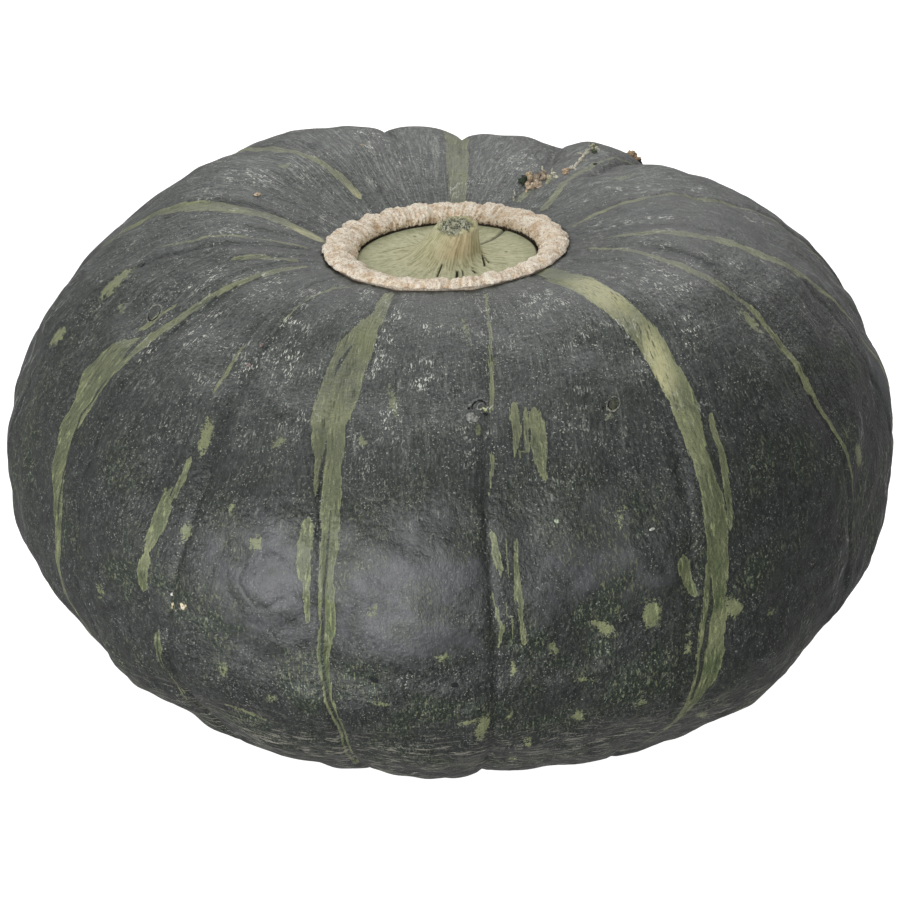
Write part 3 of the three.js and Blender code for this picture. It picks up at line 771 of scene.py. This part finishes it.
# White flecks: short cracks in the wax along the fruit, in loose clusters.
upper = mask(tree, degrees, 70, 28, 0.04, 0.75)
loose = mask(tree, (place, 1000 / 7, 3), 0.5, 0.68, times=[upper])
cloud = mask(tree, marks_of["cloud"], 0.15, 0.8, 0, 1.3)
thick = node(tree, "Math", cloud, loose, operation="MAXIMUM")
cluster = mask(tree, (place, 1000 / 1.9, 2), 0.46, 0.6, times=[thick])
# Fine pale cracks that run round the belly, below the waist, where the skin stretched.
across = node(tree, "VectorMath", fibre, (0.16, 0.16, 8), operation="MULTIPLY")
belly = mask(tree, degrees, 98, 116, 0, 0.7)
# The wax has set in fine ridges down the sides, and they have a sheen.
sides = mask(tree, degrees, 38, 56, times=[mask(tree, degrees, 112, 92)])
waxy = node(tree, "TexNoise", fibre, 1 / 1.2, 3, 0.6)
ridges = mask(tree, waxy, 0.5, 0.6, 0, 0.5, times=[sides])
ground = lay(
    tree, ground,
    # Pale grain: partly painted highlight on the pebbles.
    (mask(tree, grain, 0.55, 0.66, 0, 0.8, times=[clump]), "6c7169"),
    # Dark grain: partly painted shade between the pebbles.
    (mask(tree, grain, 0.46, 0.37, 0, 0.8, times=[amount]), "0b0f0d"),
    # Painted glints: white pinpricks.
    (mask(tree, (place, 1000 / 0.35, 0), 0.72, 0.76, times=[clump]), "b2b6ab"),
    (mask(tree, (drawn, 1 / 0.36, 2, 0.6), 0.54, 0.61, times=[cluster]), "c6c8be"),
    (mask(tree, (across, 1 / 0.55, 3, 0.6), 0.54, 0.62, times=[belly]), "949085"),
)
coarse = node(tree, "TexNoise", place, 1000 / 1.8, 2, 0.5)
pebbles = node(tree, "TexNoise", place, 1000 / 0.8, 2, 0.5)
shine = node(tree, "MapRange", grain, 0.3, 0.7, 0.36, 0.5)
shine = node(tree, "Math", polish_and_sheen, -0.12, shine, operation="MULTIPLY_ADD")
finish_material(
    tree, ground, shine, 1.5, (streaks, near_crown, 0.2), (grain, 1, 0.1), (pebbles, rough, 0.26),
    (coarse, rough, 0.32), (crease, 1, -0.3), Sheen_Weight=ridges, Sheen_Roughness=0.12,
)

skin_piece = lay_grid("rind", points, skin, ends, **marks)
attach(skin_piece, "root")
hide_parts("squash_body")


# The blossom scar: a ring of rough, cream-coloured cork that healed over where the base of the flower sat.
# It has grown in knobs, each crossed by wrinkles, and lies in the round seat in the crown.
RING_RADIUS = 21.95
# The points of the ring's section: out from the mean radius and up from the seat's edge, in mm, and the share
# of the knobs and of the ring's lean that the point takes.
RING_SECTION = [
    (-2.65, -4.0, 0), (-2.65, -2.0, 0), (-3.15, -1.0, 0.6), (-2.5, 0.05, 0.9), (-0.9, 1.15, 1),
    (1.0, 1.45, 1), (2.7, 1.1, 0.9), (3.4, 0.4, 0.5), (2.35, 0.15, 0), (2.35, -4.0, 0),
]
RING_ROUNDING = 0.5
KNOBS = 27
# Waves round the ring that make its knobs uneven in length: turns, and heights of cosine and sine in radians.
KNOB_WAVES = [(2, 0.05 * np.sin(1), 0.05 * np.cos(1)), (5, 0, 0.03)]
KNOB_HEIGHT = 1.0
KNOB_SOFTNESS = 0.04
KNOB_MIDDLE = 0.6
KNOB_SPREAD = 0.4
RING_LEAN = 0.05
# The side to which the ring is thinner, and by how much; it is as much thicker on the other side.
THIN_SIDE = np.radians(72)
THINNING = 0.13
WRINKLES = [61, 98, 139]
WRINKLE_HEIGHT = 0.1
WRINKLE_SLANT = 0.45
CORK_GRAIN = [(3.1, 0.09), (1.5, 0.05), (0.8, 0.05)]
FRAY = [83, 127, 171]
FRAY_HEIGHT = 0.07
CREVICE_LEVEL = -1.35
RING_ROWS = 72
RING_COLUMNS = 1000


def outline(stations, count, spread, closed=False):
    """Points at even steps along straight lines through the stations, each then averaged with its neighbours
    within the spread, in mm. Gives every value of the stations, then the way along in mm and how far out and
    up the outward direction goes, each as a column."""
    stations = np.array(stations, float)
    if closed:
        stations = np.concatenate([stations, stations[:1]])
    at = np.concatenate([[0], np.cumsum(np.linalg.norm(np.diff(stations[:, :2], axis=0), axis=1))])
    fine = np.linspace(0, at[-1], 10 * count, endpoint=not closed)
    line = np.stack([np.interp(fine, at, column) for column in stations.T], -1)
    reach = round(spread / at[-1] * len(fine))
    weights = np.hanning(2 * reach + 3)[1:-1]
    padded = np.pad(line, ((reach, reach), (0, 0)), mode="wrap" if closed else "edge")
    soft = np.stack([np.convolve(column, weights / weights.sum(), "valid") for column in padded.T], -1)
    pick = np.linspace(0, len(fine) - (not closed), count, endpoint=not closed).astype(int)
    soft, along = soft[pick], fine[pick]
    ahead = np.roll(soft, -1, 0) - np.roll(soft, 1, 0) if closed else np.gradient(soft, axis=0)
    outward = unit(np.stack([-ahead[:, 1], ahead[:, 0]], -1))
    return np.concatenate([soft.T, along[None], outward.T])[..., None]


out, up, share, along, outward, upward = outline(RING_SECTION, RING_ROWS, RING_ROUNDING, closed=True)
turn = np.linspace(0, 2 * np.pi, RING_COLUMNS, endpoint=False)[None]
azimuth = turn + sines(KNOB_WAVES, turn)
out = out * (1 - THINNING * share * np.cos(azimuth - THIN_SIDE))
uneven = 0.75 + 0.25 * np.sin(3 * turn + 2) * np.sin(7 * turn)
tall = np.sqrt(np.sin(KNOBS * turn / 2) ** 2 + KNOB_SOFTNESS)
grown = np.random.default_rng(8).uniform(-KNOB_SPREAD, KNOB_SPREAD, KNOBS)
grown = grown[(KNOBS * turn / (2 * np.pi)).astype(int)]
knob = KNOB_HEIGHT * uneven * (tall * (1 + grown) - KNOB_MIDDLE)
wrinkle = sum(np.sin(k * turn + k + WRINKLE_SLANT * along + 2.5 * np.sin(8 * turn + k)) for k in WRINKLES)
wrinkle = WRINKLE_HEIGHT * share * wrinkle * (0.7 + 0.3 * np.sin(5 * turn + 1))
frayed = ramp(-2.1, -3.0, out) * sum(np.sin(k * turn + 3 * k + along) for k in FRAY) * FRAY_HEIGHT
radius = RING_RADIUS + out + np.sign(out) * share * knob * np.minimum(np.abs(out) / 3, 1)
height = up + share * (KNOB_MIDDLE * knob - RING_LEAN * np.cos(azimuth))
rough = lumps(over_seat(radius, azimuth, height), CORK_GRAIN, 5) * ramp(0, 0.5, share)
relief = wrinkle + frayed + rough
points = over_seat(radius + relief * outward, azimuth, height + relief * upward)
marks = {
    # How raised the cork is sets a painted highlight on the knobs; the mark below it sets painted shade at
    # the foot.
    "raised": 0.7 * relief + 0.15 * share * knob,
    "inner": ramp(-1.4, -3, out) * ramp(0.9, -0.8, up),
    "crevice_shade": np.where(out < -1, CREVICE_LEVEL - up, -FAR),
}

# Scar cork: dead, dry and matt, crumbly to the touch. Tan, going cream with random tone and with a painted
# highlight where the cork is raised on the knobs, which leaves painted shade in the creases. It is pitted on
# the inside, where orange-tan shows through, and painted shade fills the hollow at its foot, nearly black.
# The grain of 0.3 mm is drawn coarser than it is.
cork, tree = new_material("scar cork, dry, cream")
place = node(tree, "TexCoord").outputs["Object"]
raised, inner, crevice_shade = read_marks(tree, marks).values()
crumbs = node(tree, "TexNoise", place, 1000 / 0.7, 3, 0.65)
tone_and_highlight = node(tree, "Math", crumbs, 0.9, raised, operation="MULTIPLY_ADD")
rusty = mask(tree, (place, 1000 / 2.6, 4), 0.46, 0.64, 0, 0.5)
rusty = node(tree, "Math", inner, 0.6, rusty, operation="MULTIPLY_ADD")
rusty = node(tree, "Math", rusty, 0.45, operation="MULTIPLY")
crevice_shade = node(tree, "Math", crumbs, 1.5, crevice_shade, operation="MULTIPLY_ADD")
grains = node(tree, "TexNoise", place, 1000 / 0.3, 2, 0.7)
tint = lay(
    tree, colour("d6b894"),
    # Painted highlight: cream where the cork is raised, leaving painted shade in the creases.
    (mask(tree, tone_and_highlight, 0.1, 0.62), "fff5e4"),
    (rusty, "c9a67a"),
    (mask(tree, crumbs, 0.46, 0.36, 0, 0.85, times=[inner]), "6f5233"),
    # Painted shade: the hollow at the ring's foot, nearly black.
    (mask(tree, crevice_shade, 0.75, 1.0, 0, 0.95), "1d1a12"),
    (mask(tree, grains, 0.46, 0.38, 0, 0.65), "9a8468"),
)
finish_material(tree, tint, 0.9, 1.45, (grains, 1, 0.25), (crumbs, 1, 0.6))

ring = lay_grid("cork_ring", points, cork, **marks)
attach(ring, "root")
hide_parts("corky_ring")


# The button: the pale, leathery skin inside the ring, with the dried stub of the flower's style standing on
# it. The style broke off rough, and its fibres spread at the foot, where slits have opened between them.
BUTTON_LEVEL = -1.95
# How much higher the button lies at the back than in its middle.
BUTTON_TILT = 0.35
# The points of the outline: radius, and height above the button's rim, in mm.
BUTTON_OUTLINE = [
    (0, 6.9), (1.8, 7.0), (3.4, 7.4), (4.2, 7.45), (4.6, 6.6), (5.1, 5.2), (5.6, 3.9), (6.1, 2.7), (6.8, 1.6),
    (7.8, 0.75), (9.3, 0.3), (12.4, 0.05), (15.4, -0.06), (18.2, 0), (18.7, -0.2), (19.0, -0.6), (19.0, -1.7),
]
BUTTON_ROUNDING = 0.4
STYLE_SHIFT = 2.2
STYLE_HEIGHT = 7.5
STYLE_FLARE = 0.06
# How much lower the break is at its front left than at the back.
STYLE_CUT = 1.3
STYLE_CUT_SIDE = np.radians(-15)
STYLE_RIBS = 9
STYLE_RIB_SHARE = 0.03
FIBRES = [(23, 0.06), (41, 0.025), (67, 0.015)]
BREAK_GRAIN = [(2.6, 0.35), (1.3, 0.13), (0.7, 0.07)]
# Slits, folds and pits in the button's skin: azimuth at both ends in degrees, then inner and outer radius,
# half width and depth in mm. A fold stands up, so its depth is below nothing.
SKIN_SLITS = [
    (-9.6, -9.4, 7.4, 12.6, 0.14, 0.7),
    (12.8, 8.1, 9.5, 13.6, 0.22, 1.0),
    (19.3, 14.1, 9.7, 13.7, 0.14, 0.6),
    (31, 30, 10.4, 12.0, 0.24, 0.7),
    (82, 49, 6.6, 10.5, 0.26, 0.9),
    (72, 59, 8.4, 10.4, 0.15, 0.6),
    (60, 64, 10.4, 12.2, 0.12, 0.3),
    (-37, -39, 12.3, 14.5, 0.14, 0.35),
    (126, 140, 7.5, 19, 0.42, 0.4),
    (-130, -105, 8.2, 13.7, 0.2, 0.4),
    (-122, -112, 8.4, 13.6, 0.16, 0.3),
    (-112, -94, 8.2, 14, 0.3, -0.2),
    (57, 72, 11.8, 14.5, 0.12, 0.2),
    (-151.6, -151.6, 13.75, 14.05, 0.22, 1.4),
    (94.8, 94.8, 12.25, 12.55, 0.2, 1.4),
    (34, 34, 9.6, 9.9, 0.2, 1.4),
]
# The side of the style that has gone tan, and how far round that reaches, in radians.
TAN_SIDE = np.radians(15)
TAN_REACH = 0.9
STRAND_RADIUS = 8
BUTTON_ROWS = 150
BUTTON_COLUMNS = 480

radius, height, along, outward, upward = outline(BUTTON_OUTLINE, BUTTON_ROWS, BUTTON_ROUNDING)
azimuth = np.linspace(0, 2 * np.pi, BUTTON_COLUMNS, endpoint=False)[None]
style = ramp(0.1, 1.2, height)
rib = 1 + STYLE_RIB_SHARE * style * np.cos(STYLE_RIBS * azimuth + 1.1 * np.sin(azimuth))
foot = ramp(12.4, 9, radius) * ramp(3.5, 0.3, height)
wide = radius * rib * (1 - STYLE_FLARE * foot * np.sin(azimuth))
fibres = sum(tall * np.sin(k * azimuth + 2 * k + 0.25 * along) for k, tall in FIBRES)
fibres = fibres * np.maximum(style, 0.3 * ramp(14, 8, radius)) * ramp(2.5, 4.2, radius)
broken = ramp(4.3, 3.7, radius) * ramp(6, 6.6, height)
slits = 0
for start, end, near, far, half, deep in SKIN_SLITS:
    middle = np.radians(start + (end - start) * (radius - near) / (far - near))
    long = ramp(near - 0.3, near + 0.2, radius) * ramp(far + 0.3, far - 0.2, radius)
    slits = slits + deep * long * np.exp(-(wrap(azimuth - middle) * radius / half) ** 2)
tilt = -BUTTON_TILT * radius / BUTTON_OUTLINE[-1][0] * np.cos(azimuth)
lower = (1 + np.cos(azimuth - STYLE_CUT_SIDE)) / 2 * np.minimum(radius / 4.2, 1)
tilt = tilt - STYLE_CUT * ramp(2.5, 7.2, height) * lower
base = over_seat(wide, azimuth, BUTTON_LEVEL + height + tilt)
torn = broken * lumps(base, BREAK_GRAIN, 12)
relief = fibres - slits
lift = height + tilt + relief * upward + torn
points = over_seat(wide + relief * outward, azimuth, BUTTON_LEVEL + lift)
points[..., 0] += STYLE_SHIFT * np.maximum(height / STYLE_HEIGHT, 0)
marks = {
    "foot": ramp(13.5, 8, radius),
    "broken": broken,
    "slit": slits,
    "tan_side": np.exp(-(wrap(azimuth - TAN_SIDE) / TAN_REACH) ** 2) * ramp(0.4, 3.0, height),
    # Where painted shade falls near the ring, most at the back.
    "rim": ramp(14.5, 18, radius) * (0.6 - 0.4 * np.cos(azimuth)),
    # The narrow space under the ring, which is painted nearly black as shade.
    "gap_shade": ramp(18.3, 18.7, radius),
    "yellow": broken * ramp(2.8, 3.9, radius) * (0.45 + 0.55 * ramp(-0.2, 0.8, np.sin(azimuth))),
    "strands": fibre_space(azimuth, STRAND_RADIUS, along),
}

# Dried style and button skin: leathery and matt, grey-green, going tan where it has dried through, with
# fibres 0.35 mm wide that run up the style and out over the button, and torn threads on the break. Painted
# shade darkens it near the ring, most at the back, and in its slits and pits, and it is painted nearly black
# in the narrow space under the ring.
leather, tree = new_material("dried style and button skin, grey-green")
place = node(tree, "TexCoord").outputs["Object"]
marks_of = read_marks(tree, marks)
streaks = node(tree, "TexNoise", marks_of["strands"], 1 / 0.35, 4, 0.6)
light = mask(tree, streaks, 0.38, 0.6)
smooth = lay(tree, colour("a1a07d"), (light, "b8b795"))
drawn = lay(tree, colour("918f6a"), (light, "c0be99"))
foot = node(tree, "MapRange", marks_of["foot"], 0, 1, 0.15, 1)
tint = node(tree, "Mix", foot, smooth, drawn, data_type="RGBA")
dry = node(tree, "MapRange", streaks, 0.3, 0.7, 0.45, 0.8)
dry = node(tree, "Math", dry, marks_of["tan_side"], operation="MULTIPLY")
# Painted shade: darker olive near the ring, most at the back.
edge = node(tree, "Math", marks_of["rim"], 0.5, operation="MULTIPLY")
threads = node(tree, "TexNoise", place, 1000 / 0.6, 3, 0.6, Distortion=1.5)
threads = mask(tree, threads, 0.42, 0.6)
torn = lay(tree, colour("3e443c"), (threads, "b9b89e"), (marks_of["yellow"], "c0b98c"))
spots = mask(tree, (place, 1000 / 1.2, 4), 0.42, 0.66, 0, 0.5)
tint = lay(tree, tint, (spots, "cac7a6"), (dry, "b5a07c"), (edge, "6c7558"))
tint = node(tree, "Mix", marks_of["broken"], tint, torn, data_type="RGBA")
# Painted shade: dark in the slits and pits, as deep as they go.
dark = node(tree, "MapRange", marks_of["slit"], 0.05, 0.45, 0, 0.9)
specks = mask(tree, (place, 1000 / 0.5, 2, 0.6), 0.58, 0.7, 0, 0.45)
# Painted shade: nearly black in the narrow space under the ring.
tint = lay(tree, tint, (specks, "7c7d5c"), (dark, "20241b"), (marks_of["gap_shade"], "1d1a12"))
finish_material(tree, tint, 0.75, 1.45, (streaks, foot, 0.15), (threads, 0.4, 0.1))

ends = np.stack([points[0].mean(0), over_seat(0, 0, BUTTON_LEVEL + BUTTON_OUTLINE[-1][1])])
button = lay_grid("button_and_style", points, leather, ends, **marks)
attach(button, "root")
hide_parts("crown_button")


# The stem stub: what is left underneath of the thick stem, cut short with a knife. It is dry and corky,
# ribbed and cracked lengthwise, and flares where it joined the fruit. It hangs clear of the table.
STEM_LENGTH = 6.2
STEM_RADIUS = 9.2
# The points of the outline: radius, and height above the cut, in mm.
STEM_OUTLINE = [
    (0, 6.2), (11.1, 6.2), (10.416, 5.1), (9.884, 4.0), (9.504, 2.9), (9.276, 1.8), (9.2, 0.7), (8.4, 0),
    (5.52, 0.15), (0, 0.5),
]
STEM_ROUNDING = 0.4
STEM_RIBS = 14
STEM_RIB_HEIGHT = 0.45
STEM_GRAIN = [(1.6, 0.08), (0.9, 0.05)]
STEM_ROWS = 90
STEM_COLUMNS = 360

radius, height, along, outward, upward = outline(STEM_OUTLINE, STEM_ROWS, STEM_ROUNDING)
azimuth = np.linspace(0, 2 * np.pi, STEM_COLUMNS, endpoint=False)[None]
crack = STEM_RIB_HEIGHT * np.cos(STEM_RIBS * azimuth + 0.8 * np.sin(3 * azimuth))
wide = radius + crack * ramp(STEM_RADIUS / 2, STEM_RADIUS, radius)
low = smooth_fruit(0, STEM_POLAR)[2] - 2 * GAP - STEM_LENGTH
base = np.stack([wide * np.sin(azimuth), -wide * np.cos(azimuth), low + height + 0 * azimuth], -1)
rough = lumps(base, STEM_GRAIN, 21) + 0.08 * np.sin(47 * azimuth + along)
points = base + rough[..., None] * np.stack([
    outward * np.sin(azimuth), -outward * np.cos(azimuth), upward + 0 * azimuth,
], -1)
marks = {
    "strands": fibre_space(azimuth, STRAND_RADIUS, along),
    "cut": ramp(9.0, 8.2, radius) * ramp(2, 0.6, height),
    "rings": radius,
}

# Dry stem: corky wood, matt and grey-tan outside, with paler pith in rings on the cut end. Fibres 0.4 mm.
wood, tree = new_material("dry squash stem, corky")
place = node(tree, "TexCoord").outputs["Object"]
strands, cut, rings = read_marks(tree, marks).values()
streaks = node(tree, "TexNoise", strands, 1 / 0.4, 4, 0.6)
light = node(tree, "MapRange", streaks, 0.35, 0.65)
bark = lay(tree, colour("6b5f45"), (light, "a1936f"))
waver = node(tree, "TexNoise", place, 1000 / 3, 3)
waver = node(tree, "Math", waver, 2.5, rings, operation="MULTIPLY_ADD")
waver = node(tree, "Math", waver, 3.2, operation="MULTIPLY")
waver = node(tree, "Math", waver, operation="SINE")
waver = node(tree, "MapRange", waver, -1, 1, 0, 0.6)
pith = lay(tree, colour("b3a67f"), (waver, "857650"))
tint = node(tree, "Mix", cut, bark, pith, data_type="RGBA")
finish_material(tree, tint, 0.9, 1.45, (streaks, 1, 0.3))

ends = np.array([[0, 0, low + STEM_OUTLINE[0][1]], [0, 0, low + STEM_OUTLINE[-1][1]]])
stem = lay_grid("stem_stub_cut", points, wood, ends, **marks)
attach(stem, "root")
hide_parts("stem_stub")


# Scabs and scars: crumbs of dried sap and petal that stuck to the young fruit, and three small healed wounds.
# Each is a lump, squashed and turned to lie on the rind; the wounds are rows of lumps along arcs. The nearly
# black lumps are no scabs but painted shadows, under crumbs by the wounds and under the lowest scab. One lump
# a
# line: azimuth and polar angle, half length and half width along the rind and half thickness in mm, the angle
# that its length leans from the meridian, and its colour.
LUMPS_ON_RIND = [
    (153.3, 21.5, 1.5, 0.95, 1.2, 0, "323d2c"),
    (153.2, 23.3, 0.9, 0.8, 0.9, 10, "c6b292"),
    (151.9, 22.3, 1.1, 0.85, 1.3, 0, "c1ac90"),
    (150.6, 20.9, 1.0, 0.8, 1.0, -10, "c4b096"),
    (151.2, 23.4, 1.0, 1.1, 1.1, 30, "b7a68e"),
    (150.6, 24.9, 0.9, 1.0, 1.3, 0, "ac9d88"),
    (150.0, 22.7, 1.1, 0.9, 1.2, 0, "afa08c"),
    (148.6, 23.4, 1.2, 0.8, 0.9, 0, "bbaa92"),
    (147.8, 21.0, 1.0, 1.2, 1.2, 0, "ccb8a0"),
    (146.6, 21.4, 0.8, 0.7, 0.9, 20, "c7b39a"),
    (148.9, 20.3, 0.7, 0.7, 0.8, 0, "c3af95"),
    (147.6, 24.2, 0.8, 0.8, 1.0, 20, "bbad94"),
    (146.0, 23.4, 0.8, 0.8, 0.9, 0, "adac90"),
    (145.4, 24.3, 0.6, 0.6, 0.7, 0, "c8c6b2"),
    (147.4, 25.2, 0.5, 0.5, 0.8, 0, "d1d0be"),
    (145.1, 22.3, 0.7, 0.5, 0.5, 0, "a8a48a"),
    (149.0, 19.6, 0.7, 0.3, 0.5, -14, "c1ac92"),
    (153.6, 27.4, 2.2, 0.26, 0.5, -25, "c4c2ae"),
    (149.6, 26.4, 2.0, 0.24, 0.5, -25, "bcbba7"),
    (153.0, 18.9, 1.6, 0.26, 0.4, -28, "afafa0"),
    (151.4, 17.6, 1.0, 0.26, 0.4, -28, "b7b19f"),
    (145.6, 26.8, 0.9, 0.7, 0.9, 0, "bba68a"),
    (146.4, 27.7, 0.9, 0.7, 0.8, 0, "c8b398"),
    (144.9, 26.0, 0.6, 0.6, 0.6, 0, "bca486"),
    (146.8, 28.9, 0.5, 0.7, 0.7, 30, "d6d5c4"),
    (145.3, 28.3, 0.4, 0.6, 0.6, 0, "c8c6b4"),
    (147.2, 30.5, 3.0, 0.4, 0.6, -21, "d6d1be"),
    (148.4, 32.6, 3.0, 0.42, 0.6, -21, "d0cbb8"),
    (149.5, 34.7, 3.0, 0.4, 0.6, -21, "cec9b5"),
    (150.5, 36.8, 3.0, 0.38, 0.6, -21, "c6c2aa"),
    (149.5, 35.9, 1.6, 0.26, 0.5, -21, "bdb9a4"),
    (150.7, 38.4, 1.4, 0.26, 0.5, -30, "b7b49c"),
    (150.4, 35.1, 0.3, 1.3, 0.4, 8, "b7b2a0"),
    (149.5, 35.0, 0.5, 0.5, 0.5, 0, "dcdcd0"),
    (147.3, 32.2, 1.4, 0.24, 0.3, -12, "a1a28a"),
    (151.4, 39.2, 0.7, 0.7, 0.7, 0, "b4b49c"),
    (150.6, 38.8, 0.6, 0.8, 0.6, 0, "8c8b6c"),
    (149.8, 38.6, 0.9, 0.5, 0.7, 20, "c6c5b0"),
    (149.6, 37.6, 0.8, 0.9, 0.4, 0, "565d44"),
    (151.9, 40.7, 0.6, 1.0, 0.4, 0, "75775b"),
    (148.9, 37.0, 0.9, 0.5, 0.3, 20, "3a4432"),
    (149.8, 49.6, 1.0, 1.3, 1.7, 0, "cdb08c"),
    (148.9, 49.8, 0.9, 1.0, 1.3, 0, "c2a27c"),
    # Painted shadow under the scab above it.
    (148.4, 50.2, 0.8, 0.6, 1.0, 0, "33271e"),
    (144.3, 32.3, 0.9, 0.35, 0.15, -10, "191d17"),
    (-51, 81.1, 0.85, 0.5, 0.4, -50, "ddcfb2"),
    (-50.5, 80.7, 0.3, 0.3, 0.3, 0, "e6d9bc"),
    (-52.8, 81.7, 0.35, 0.35, 0.3, 0, "d1c3a1"),
    (-52.8, 82.3, 0.4, 0.35, 0.3, 0, "c3b896"),
    (-53.2, 79.9, 0.32, 0.32, 0.3, 0, "d8d6cc"),
    (-114, 26, 0.9, 0.6, 0.4, -60, "b9a68e"),
    (-156.2, 28.2, 0.6, 0.4, 0.3, -60, "b9a68e"),
    (-51.8, 31.2, 0.5, 0.4, 0.15, 0, "94807a"),
    (-52, 34.6, 0.5, 0.4, 0.15, 0, "94807a"),
    (23.5, 60, 0.5, 0.45, 0.3, 0, "9ea994"),
    (41, 65.6, 0.35, 0.6, 0.2, 0, "b5b9ae"),
    (15.8, 122.5, 0.5, 0.4, 0.2, 0, "8f8f6a"),
    (19.8, 85.5, 0.25, 0.25, 0.15, 0, "15180f"),
    (-17, 89.3, 0.8, 1.2, 0.1, 0, "14181a"),
    (-0.5, 89.9, 0.6, 0.8, 0.1, 0, "14181a"),
    (-93.5, 39.2, 0.9, 0.25, 0.12, -20, "101412"),
    (4.5, 39.4, 1.0, 1.3, 0.25, -30, "90918c"),
    (5.8, 39.8, 0.8, 0.9, 0.2, 10, "878880"),
    (6.5, 41.7, 1.5, 0.75, 0.12, -10, "5c614b"),
    (8.2, 38.2, 0.5, 0.8, 0.3, 40, "9ea478"),
    (8.2, 38.2, 0.25, 0.5, 0.4, 20, "c8ceaa"),
    (7.5, 38.2, 0.3, 0.3, 0.35, 0, "c6cdb4"),
    (9, 38.2, 0.55, 0.22, 0.4, 55, "c6cdb4"),
    (10, 38.4, 0.7, 0.2, 0.4, 55, "a9a99c"),
    (4.8, 37.2, 0.35, 0.25, 0.3, 40, "a2a29a"),
    # This lump and the next two are painted shadows under the crumbs of the first wound.
    (4.5, 37.8, 0.3, 0.25, 0.2, 0, "0c0e0c"),
    (8.2, 39, 0.3, 0.6, 0.2, 0, "0c0e0c"),
    (9, 39.4, 0.25, 0.5, 0.2, 20, "0c0e0c"),
    (38.2, 44.5, 1.15, 1.25, 0.2, 0, "44473a"),
    (36.8, 45.9, 0.5, 1.1, 0.15, -35, "7c7e6c"),
    (37.5, 46.3, 0.4, 0.5, 0.12, 0, "61645a"),
    # Painted shadow in the second wound.
    (35.8, 44.5, 0.3, 0.2, 0.15, 0, "0c0e0c"),
]
# One arc a line: azimuth and polar angle of its middle, radius, the angles of its two ends from straight up
# and to the right, half thickness, and colour. The nearly black arcs are painted shade just inside each
# wound's rim.
ARCS = [
    # Painted shade inside the rim.
    (7, 37.6, 1.35, -100, 70, 0.17, "0c0e0c"),
    (7, 37.6, 1.8, -80, 60, 0.2, "6c6d6b"),
    (7.8, 37.8, 1.0, -120, 5, 0.12, "8c8c88"),
    (38.2, 44.5, 1.5, -100, 130, 0.15, "72746a"),
    (38.2, 44.5, 1.35, 140, 250, 0.16, "8f9082"),
    # Painted shade inside the rim.
    (38.2, 44.5, 1.15, 215, 310, 0.15, "0c0e0c"),
    (-81, 39.4, 2.0, 0, 330, 0.15, "7d7f74"),
    # Painted shade inside the rim.
    (-81, 39.4, 1.6, 40, 200, 0.13, "141814"),
]
ARC_LUMPS = 12
LUMP_ROWS = 9
LUMP_COLUMNS = 14
LUMP_ROUGHNESS = [(1.3, 0.2), (0.8, 0.2)]
SUNK = 0.3


def frame_on_rind(azimuth, polar):
    """A point of the rind, and the directions right, down and outwards there."""
    point = rind(azimuth, polar)[0]
    right, down = [unit(step) for step in steps_along(azimuth, polar)]
    return point, right, down, unit(np.cross(down, right))


rows = [row[:6] for row in LUMPS_ON_RIND]
tints = [row[6] for row in LUMPS_ON_RIND]
for at, low, radius, start, end, half, tint in ARCS:
    angle = np.radians(np.linspace(start, end, ARC_LUMPS))
    right, down = [np.linalg.norm(step) for step in steps_along(np.radians(at), np.radians(low))]
    length = abs(np.radians(end - start)) * radius / ARC_LUMPS
    around = at + np.degrees(radius * np.sin(angle) / right)
    along = low - np.degrees(radius * np.cos(angle) / down)
    lean = np.degrees(angle) - 90
    rows += [(a, p, length, half, half, turn) for a, p, turn in zip(around, along, lean)]
    tints += [tint] * ARC_LUMPS
at, low, half_length, half_width, half_height, lean = np.array(rows, float).T[..., None, None]
middle, right, down, outwards = frame_on_rind(np.radians(at), np.radians(low))
theta = np.linspace(0, np.pi, LUMP_ROWS + 2)[1:-1, None]
phi = np.linspace(0, 2 * np.pi, LUMP_COLUMNS, endpoint=False)[None]
lengthwise = half_length * np.sin(theta) * np.cos(phi)
sideways = half_width * np.sin(theta) * np.sin(phi)
lift = half_height * (np.cos(theta) - SUNK)
a = np.radians(lean)
x = (sideways * np.cos(a) - lengthwise * np.sin(a))[..., None]
y = (sideways * np.sin(a) + lengthwise * np.cos(a))[..., None]
points = middle + x * right + y * down + lift[..., None] * outwards
rough = lumps(points, LUMP_ROUGHNESS, 31) * np.minimum(np.minimum(half_height, half_width), 1)
points = points + rough[..., None] * unit(points - middle)
tips = [middle + half_height[..., None] * (side - SUNK) * outwards for side in (1, -1)]
ends = np.concatenate(tips, axis=1)[:, :, 0]
shade = np.array([colour(tint)[:3] for tint in tints]).T[..., None, None]

# Dried sap and petal: brittle and matt, tan to brown, with a fine crust. The crust's noise is 0.5 mm.
crust, tree = new_material("dried sap and petal scabs, tan")
place = node(tree, "TexCoord").outputs["Object"]
tint = node(tree, "Attribute", attribute_name="tint").outputs["Color"]
crumbs = node(tree, "TexNoise", place, 1000 / 0.5, 3, 0.6)
spread = node(tree, "MapRange", crumbs, 0.35, 0.65, 0.45, 1.4)
tint = node(tree, "VectorMath", tint, spread, operation="MULTIPLY")
finish_material(tree, tint, 0.85, 1.45, (crumbs, 1, 0.4))

scabs = lay_grid("scabs_and_scars", points, crust, ends, tint=tuple(shade))
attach(scabs, "root")
